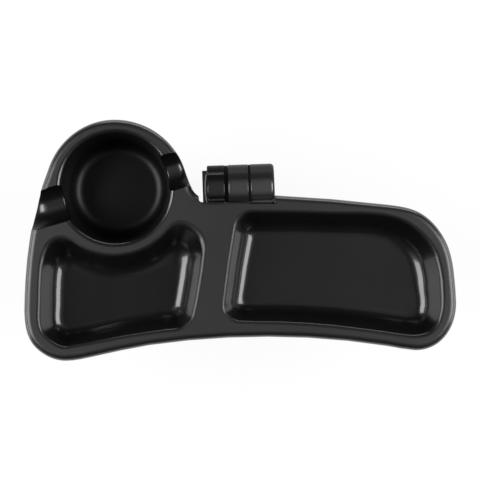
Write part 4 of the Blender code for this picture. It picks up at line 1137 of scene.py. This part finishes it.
def make_knob_nut():
    hole = rod(SPINDLE_RADIUS + FIT, -BEYOND, NUT_HEIGHT + BEYOND)
    nut, finishes = carved(chamfered_hex(0.0, NUT_HEIGHT, True), [(CUT, hole)], PLAIN_BRASS)
    left = KNOB[0] + KNOB_CAP_RECESS + FIT
    piece("knob_nut_turned", laid(nut, left), finishes, "knob", "knob_nut")


def make_washer(node, body, finish, left, right):
    """A washer that fills the seam between two pieces of the barrel."""
    rim = chamfered(KNUCKLE_RADIUS - FIT, left + TOUCH, right - TOUCH, WASHER_EDGE)
    profile = [(BORE_RADIUS, left + TOUCH), *rim, (BORE_RADIUS, right - TOUCH)]
    piece(node + "_disc", turned(profile, 128, "X", HINGE, closed=True), [finish], body, node)


def make_bracket_screw(index, place):
    """A pan-head screw with a cross recess, head down under the tongue."""
    face, core = -SCREW_HEAD_HEIGHT, SCREW_RADIUS * CORE_SHARE
    head = [(0.0, face)]
    for rise, run in quarter(8):
        reach = SCREW_FACE_SHARE + (1 - SCREW_FACE_SHARE) * rise
        head.append((SCREW_HEAD_RADIUS * reach, face * (1 - SCREW_DOME_SHARE * run)))
    head += [(SCREW_HEAD_RADIUS, 0.0), (core, 0.0), (core, 2 * BEYOND), (0.0, 2 * BEYOND)]
    top = SCREW_LENGTH - SCREW_RADIUS
    root = top - SCREW_POINT_ROOT
    point = [(0.0, SCREW_LENGTH), (SCREW_RADIUS * SCREW_POINT_SHARE, root), (0.0, root)]
    steps = [(JOIN, thread(SCREW_RADIUS, SCREW_THREAD_DEPTH, SCREW_PITCH, 0.0, top, 24)),
             (JOIN, turned(point, 24))]
    for x, y in ((RECESS_REACH, RECESS_HALF), (RECESS_HALF, RECESS_REACH)):
        steps.append((CUT, box((-x, -y, face - BEYOND), (x, y, face + RECESS_DEPTH))))
    screw, finishes = carved(turned(head, 64), steps, SCREW_ZINC)
    shifted(screw, (place.x, place.y, HINGE.z + BRACKET_TAIL - FIT))
    piece(f"bracket_screw_turned_{index}", screw, finishes, "tray", f"bracket_screw_{index}")


def make_clamp_screw():
    """The clamp's screw with its collar, the pin through its foot and the clip over the collar."""
    neck = SPINDLE_RADIUS * CORE_SHARE
    groove = JAW_BOTTOM + JAW_WEB + FIT / 2
    over_groove = groove + CLIP_THICKNESS + FIT
    collar_top = COLLAR_BOTTOM + COLLAR_HEIGHT
    foot, top = SPINDLE_FOOT + THREAD_LEAD_IN, COLLAR_BOTTOM - THREAD_RUNOUT
    start = thread(SPINDLE_RADIUS, THREAD_DEPTH, LEAD / LEAD_STARTS, foot, top, starts=LEAD_STARTS)
    profile = [(0.0, SPINDLE_FOOT), (neck, SPINDLE_FOOT), (neck, COLLAR_BOTTOM),
               *chamfered(COLLAR_RADIUS, COLLAR_BOTTOM, collar_top), (SPINDLE_RADIUS, collar_top),
               (SPINDLE_RADIUS, groove), (neck, groove), (neck, over_groove),
               (SPINDLE_RADIUS, over_groove), (SPINDLE_RADIUS, SPINDLE_TOP - 2 * CHAMFER),
               (SPINDLE_RADIUS - 2 * CHAMFER, SPINDLE_TOP), (0.0, SPINDLE_TOP)]
    screw = carved(start, [(JOIN, turned(profile, 64)), (CUT, pin_hole())], SCREW_ZINC)
    piece("clamp_screw_turned", *screw, "spindle", "clamp_screw")
    pin = [(0.0, -PIN_HALF), *chamfered(PIN_RADIUS, -PIN_HALF, PIN_HALF), (0.0, PIN_HALF)]
    pin = turned(pin, 32, "X", (0.0, 0.0, PIN_HEIGHT))
    piece("knob_pin_turned", pin, [CLIP_STEEL], "spindle", "knob_pin")
    low = groove + FIT / 2
    clip = arc((0.0, 0.0), COLLAR_RADIUS, CLIP_GAP, 360 - CLIP_GAP, 60)
    clip += arc((0.0, 0.0), neck + FIT, 360 - CLIP_GAP, CLIP_GAP, 48)
    pressing = eased(prism(clip, low, low + CLIP_THICKNESS), CLIP_EDGE, least_angle=60.0, segments=2)
    piece("jaw_clip_pressing", pressing, [CLIP_STEEL], "spindle", "jaw_clip")


def make_clamp_insert():
    hole = rod(SPINDLE_RADIUS + FIT, LOWER_ARM_BOTTOM - FIT, LOWER_ARM_TOP + FIT)
    insert = carved(turned(bush(0.0, CHAMFER), 96), [(CUT, hole)], PLAIN_BRASS)
    piece("clamp_bush", *insert, "clamp", "clamp_insert")


make_tray()
make_hinge_bracket()
make_clamp_frame()
make_tilt_knob()
make_knob_cap()
make_clamp_knob()
make_tilt_bolt()
make_knob_nut()
# The friction washer's extra darkness is painted shade in the seam between the knuckles.
make_washer("friction_washer", "tray", WASHER_SHADE_RUBBER, CLAMP_KNUCKLE[1], TRAY_KNUCKLE[0])
# The thrust washer is black plastic, made darker still as painted shade in the gap beside the knob.
make_washer("thrust_washer", "washer", RECESS_SHADE_BLACK, KNOB[1], CLAMP_KNUCKLE[0])
for screw_number, screw_place in enumerate(screw_places(), 1):
    make_bracket_screw(screw_number, screw_place)
make_pad("upper_pad_ribbed", True, "clamp", "upper_pad")
make_pad("jaw_pad_ribbed", False, "jaw", "jaw_pad")
make_clamp_jaw()
make_clamp_screw()
make_clamp_insert()


# Camera, lights and floor

CAMERA_HEIGHT = 1.4
CAMERA_Y = -0.03125
CAMERA_TURN = math.radians(-2.0)
SENSOR_WIDTH = 36.0
PICTURE_WIDTH = 0.3744
FAR_CLIP = 100.0
MIDDLE = Vector((0.0, -0.03, 0.07))
SIDE_REACH = 1.3
HIGH_RISE = math.radians(42.0)
LOW_RISE = math.radians(3.0)
TOP_LIGHT_SHIFT = Vector((0.5, 0.0, 0.0))
TOP_LIGHT_RAISE = Vector((0.0, 0.05, 1.6))
BACK_LIGHT_PLACE = Vector((0.25, 1.5, 0.12))
ROOM_STRENGTH = 0.035
FLOOR_TONE = 0.86
FLOOR_ROUGHNESS = 0.9
FLOOR_GLOW = 0.9
FLOOR_HALF = 12.0
FLOOR_DROP = 0.0005

camera_data = bpy.data.cameras.new("camera")
camera_data.sensor_width = SENSOR_WIDTH
camera_data.lens = SENSOR_WIDTH * CAMERA_HEIGHT / PICTURE_WIDTH
camera_data.clip_end = FAR_CLIP
camera = placed("camera", camera_data)
camera.location = (0.0, CAMERA_Y, DECK_TOP + CAMERA_HEIGHT)
camera.rotation_euler = (0.0, 0.0, CAMERA_TURN)
bpy.context.scene.camera = camera


def soft_light(name, place, target, width, height, radiance):
    """A rectangular soft light that faces a target and shines with an even radiance."""
    data = bpy.data.lights.new(name, "AREA")
    data.shape = "RECTANGLE"
    data.size = width
    data.size_y = height
    data.energy = radiance * math.pi * width * height
    light = placed(name, data)
    light.location = place
    light.rotation_euler = (target - place).to_track_quat("-Z", "Y").to_euler()
    light.visible_camera = False


def side_place(side, rise):
    """Where a side light stands, at a rise above the tray's level."""
    return MIDDLE + Vector((side * math.cos(rise), 0.0, math.sin(rise))) * SIDE_REACH


for side, name in ((-1, "left_light"), (1, "right_light")):
    soft_light(name, side_place(side, HIGH_RISE), MIDDLE, width=0.85, height=0.80, radiance=8.6)
    soft_light("low_" + name, side_place(side, LOW_RISE), MIDDLE, width=1.10, height=0.34, radiance=3.4)
under_top = MIDDLE + TOP_LIGHT_SHIFT
soft_light("top_light", under_top + TOP_LIGHT_RAISE, under_top, width=1.2, height=2.5, radiance=0.20)
soft_light("back_light", MIDDLE + BACK_LIGHT_PLACE, MIDDLE, width=1.5, height=0.26, radiance=5.0)

world = bpy.data.worlds.new("room")
world.use_nodes = True
bpy.context.scene.world = world
background = world.node_tree.nodes["Background"]
background.inputs["Color"].default_value = (1.0, 1.0, 1.0, 1.0)
background.inputs["Strength"].default_value = ROOM_STRENGTH

floor_finish = Finish("pale_floor", roughness=FLOOR_ROUGHNESS, base_color=[FLOOR_TONE] * 3)
path = floor_finish.nodes.new("ShaderNodeLightPath")
kinds = ("Camera", "Glossy", "Transmission")
rays = [Value(floor_finish, path.outputs[f"Is {kind} Ray"]) for kind in kinds]
seen = floor_finish.node("Clamp", {}, {"Value": rays[0] + rays[1] + rays[2]})
glow = floor_finish.node("Emission", {}, {"Color": (1.0, 1.0, 1.0), "Strength": 1.0})
plain = Value(floor_finish, floor_finish.shader.outputs[0])
shown = floor_finish.node("MixShader", {}, {0: seen * FLOOR_GLOW, 1: plain, 2: glow})
floor_finish.put(floor_finish.nodes["Material Output"], "Surface", shown)
floor_bm = bmesh.new()
bmesh.ops.create_grid(floor_bm, x_segments=1, y_segments=1, size=FLOOR_HALF)
shifted(floor_bm, (0.0, 0.0, cad_low.z - FLOOR_DROP))
loose_object("floor", floor_bm, [floor_finish.material])

bpy.context.scene.view_settings.view_transform = "Standard"
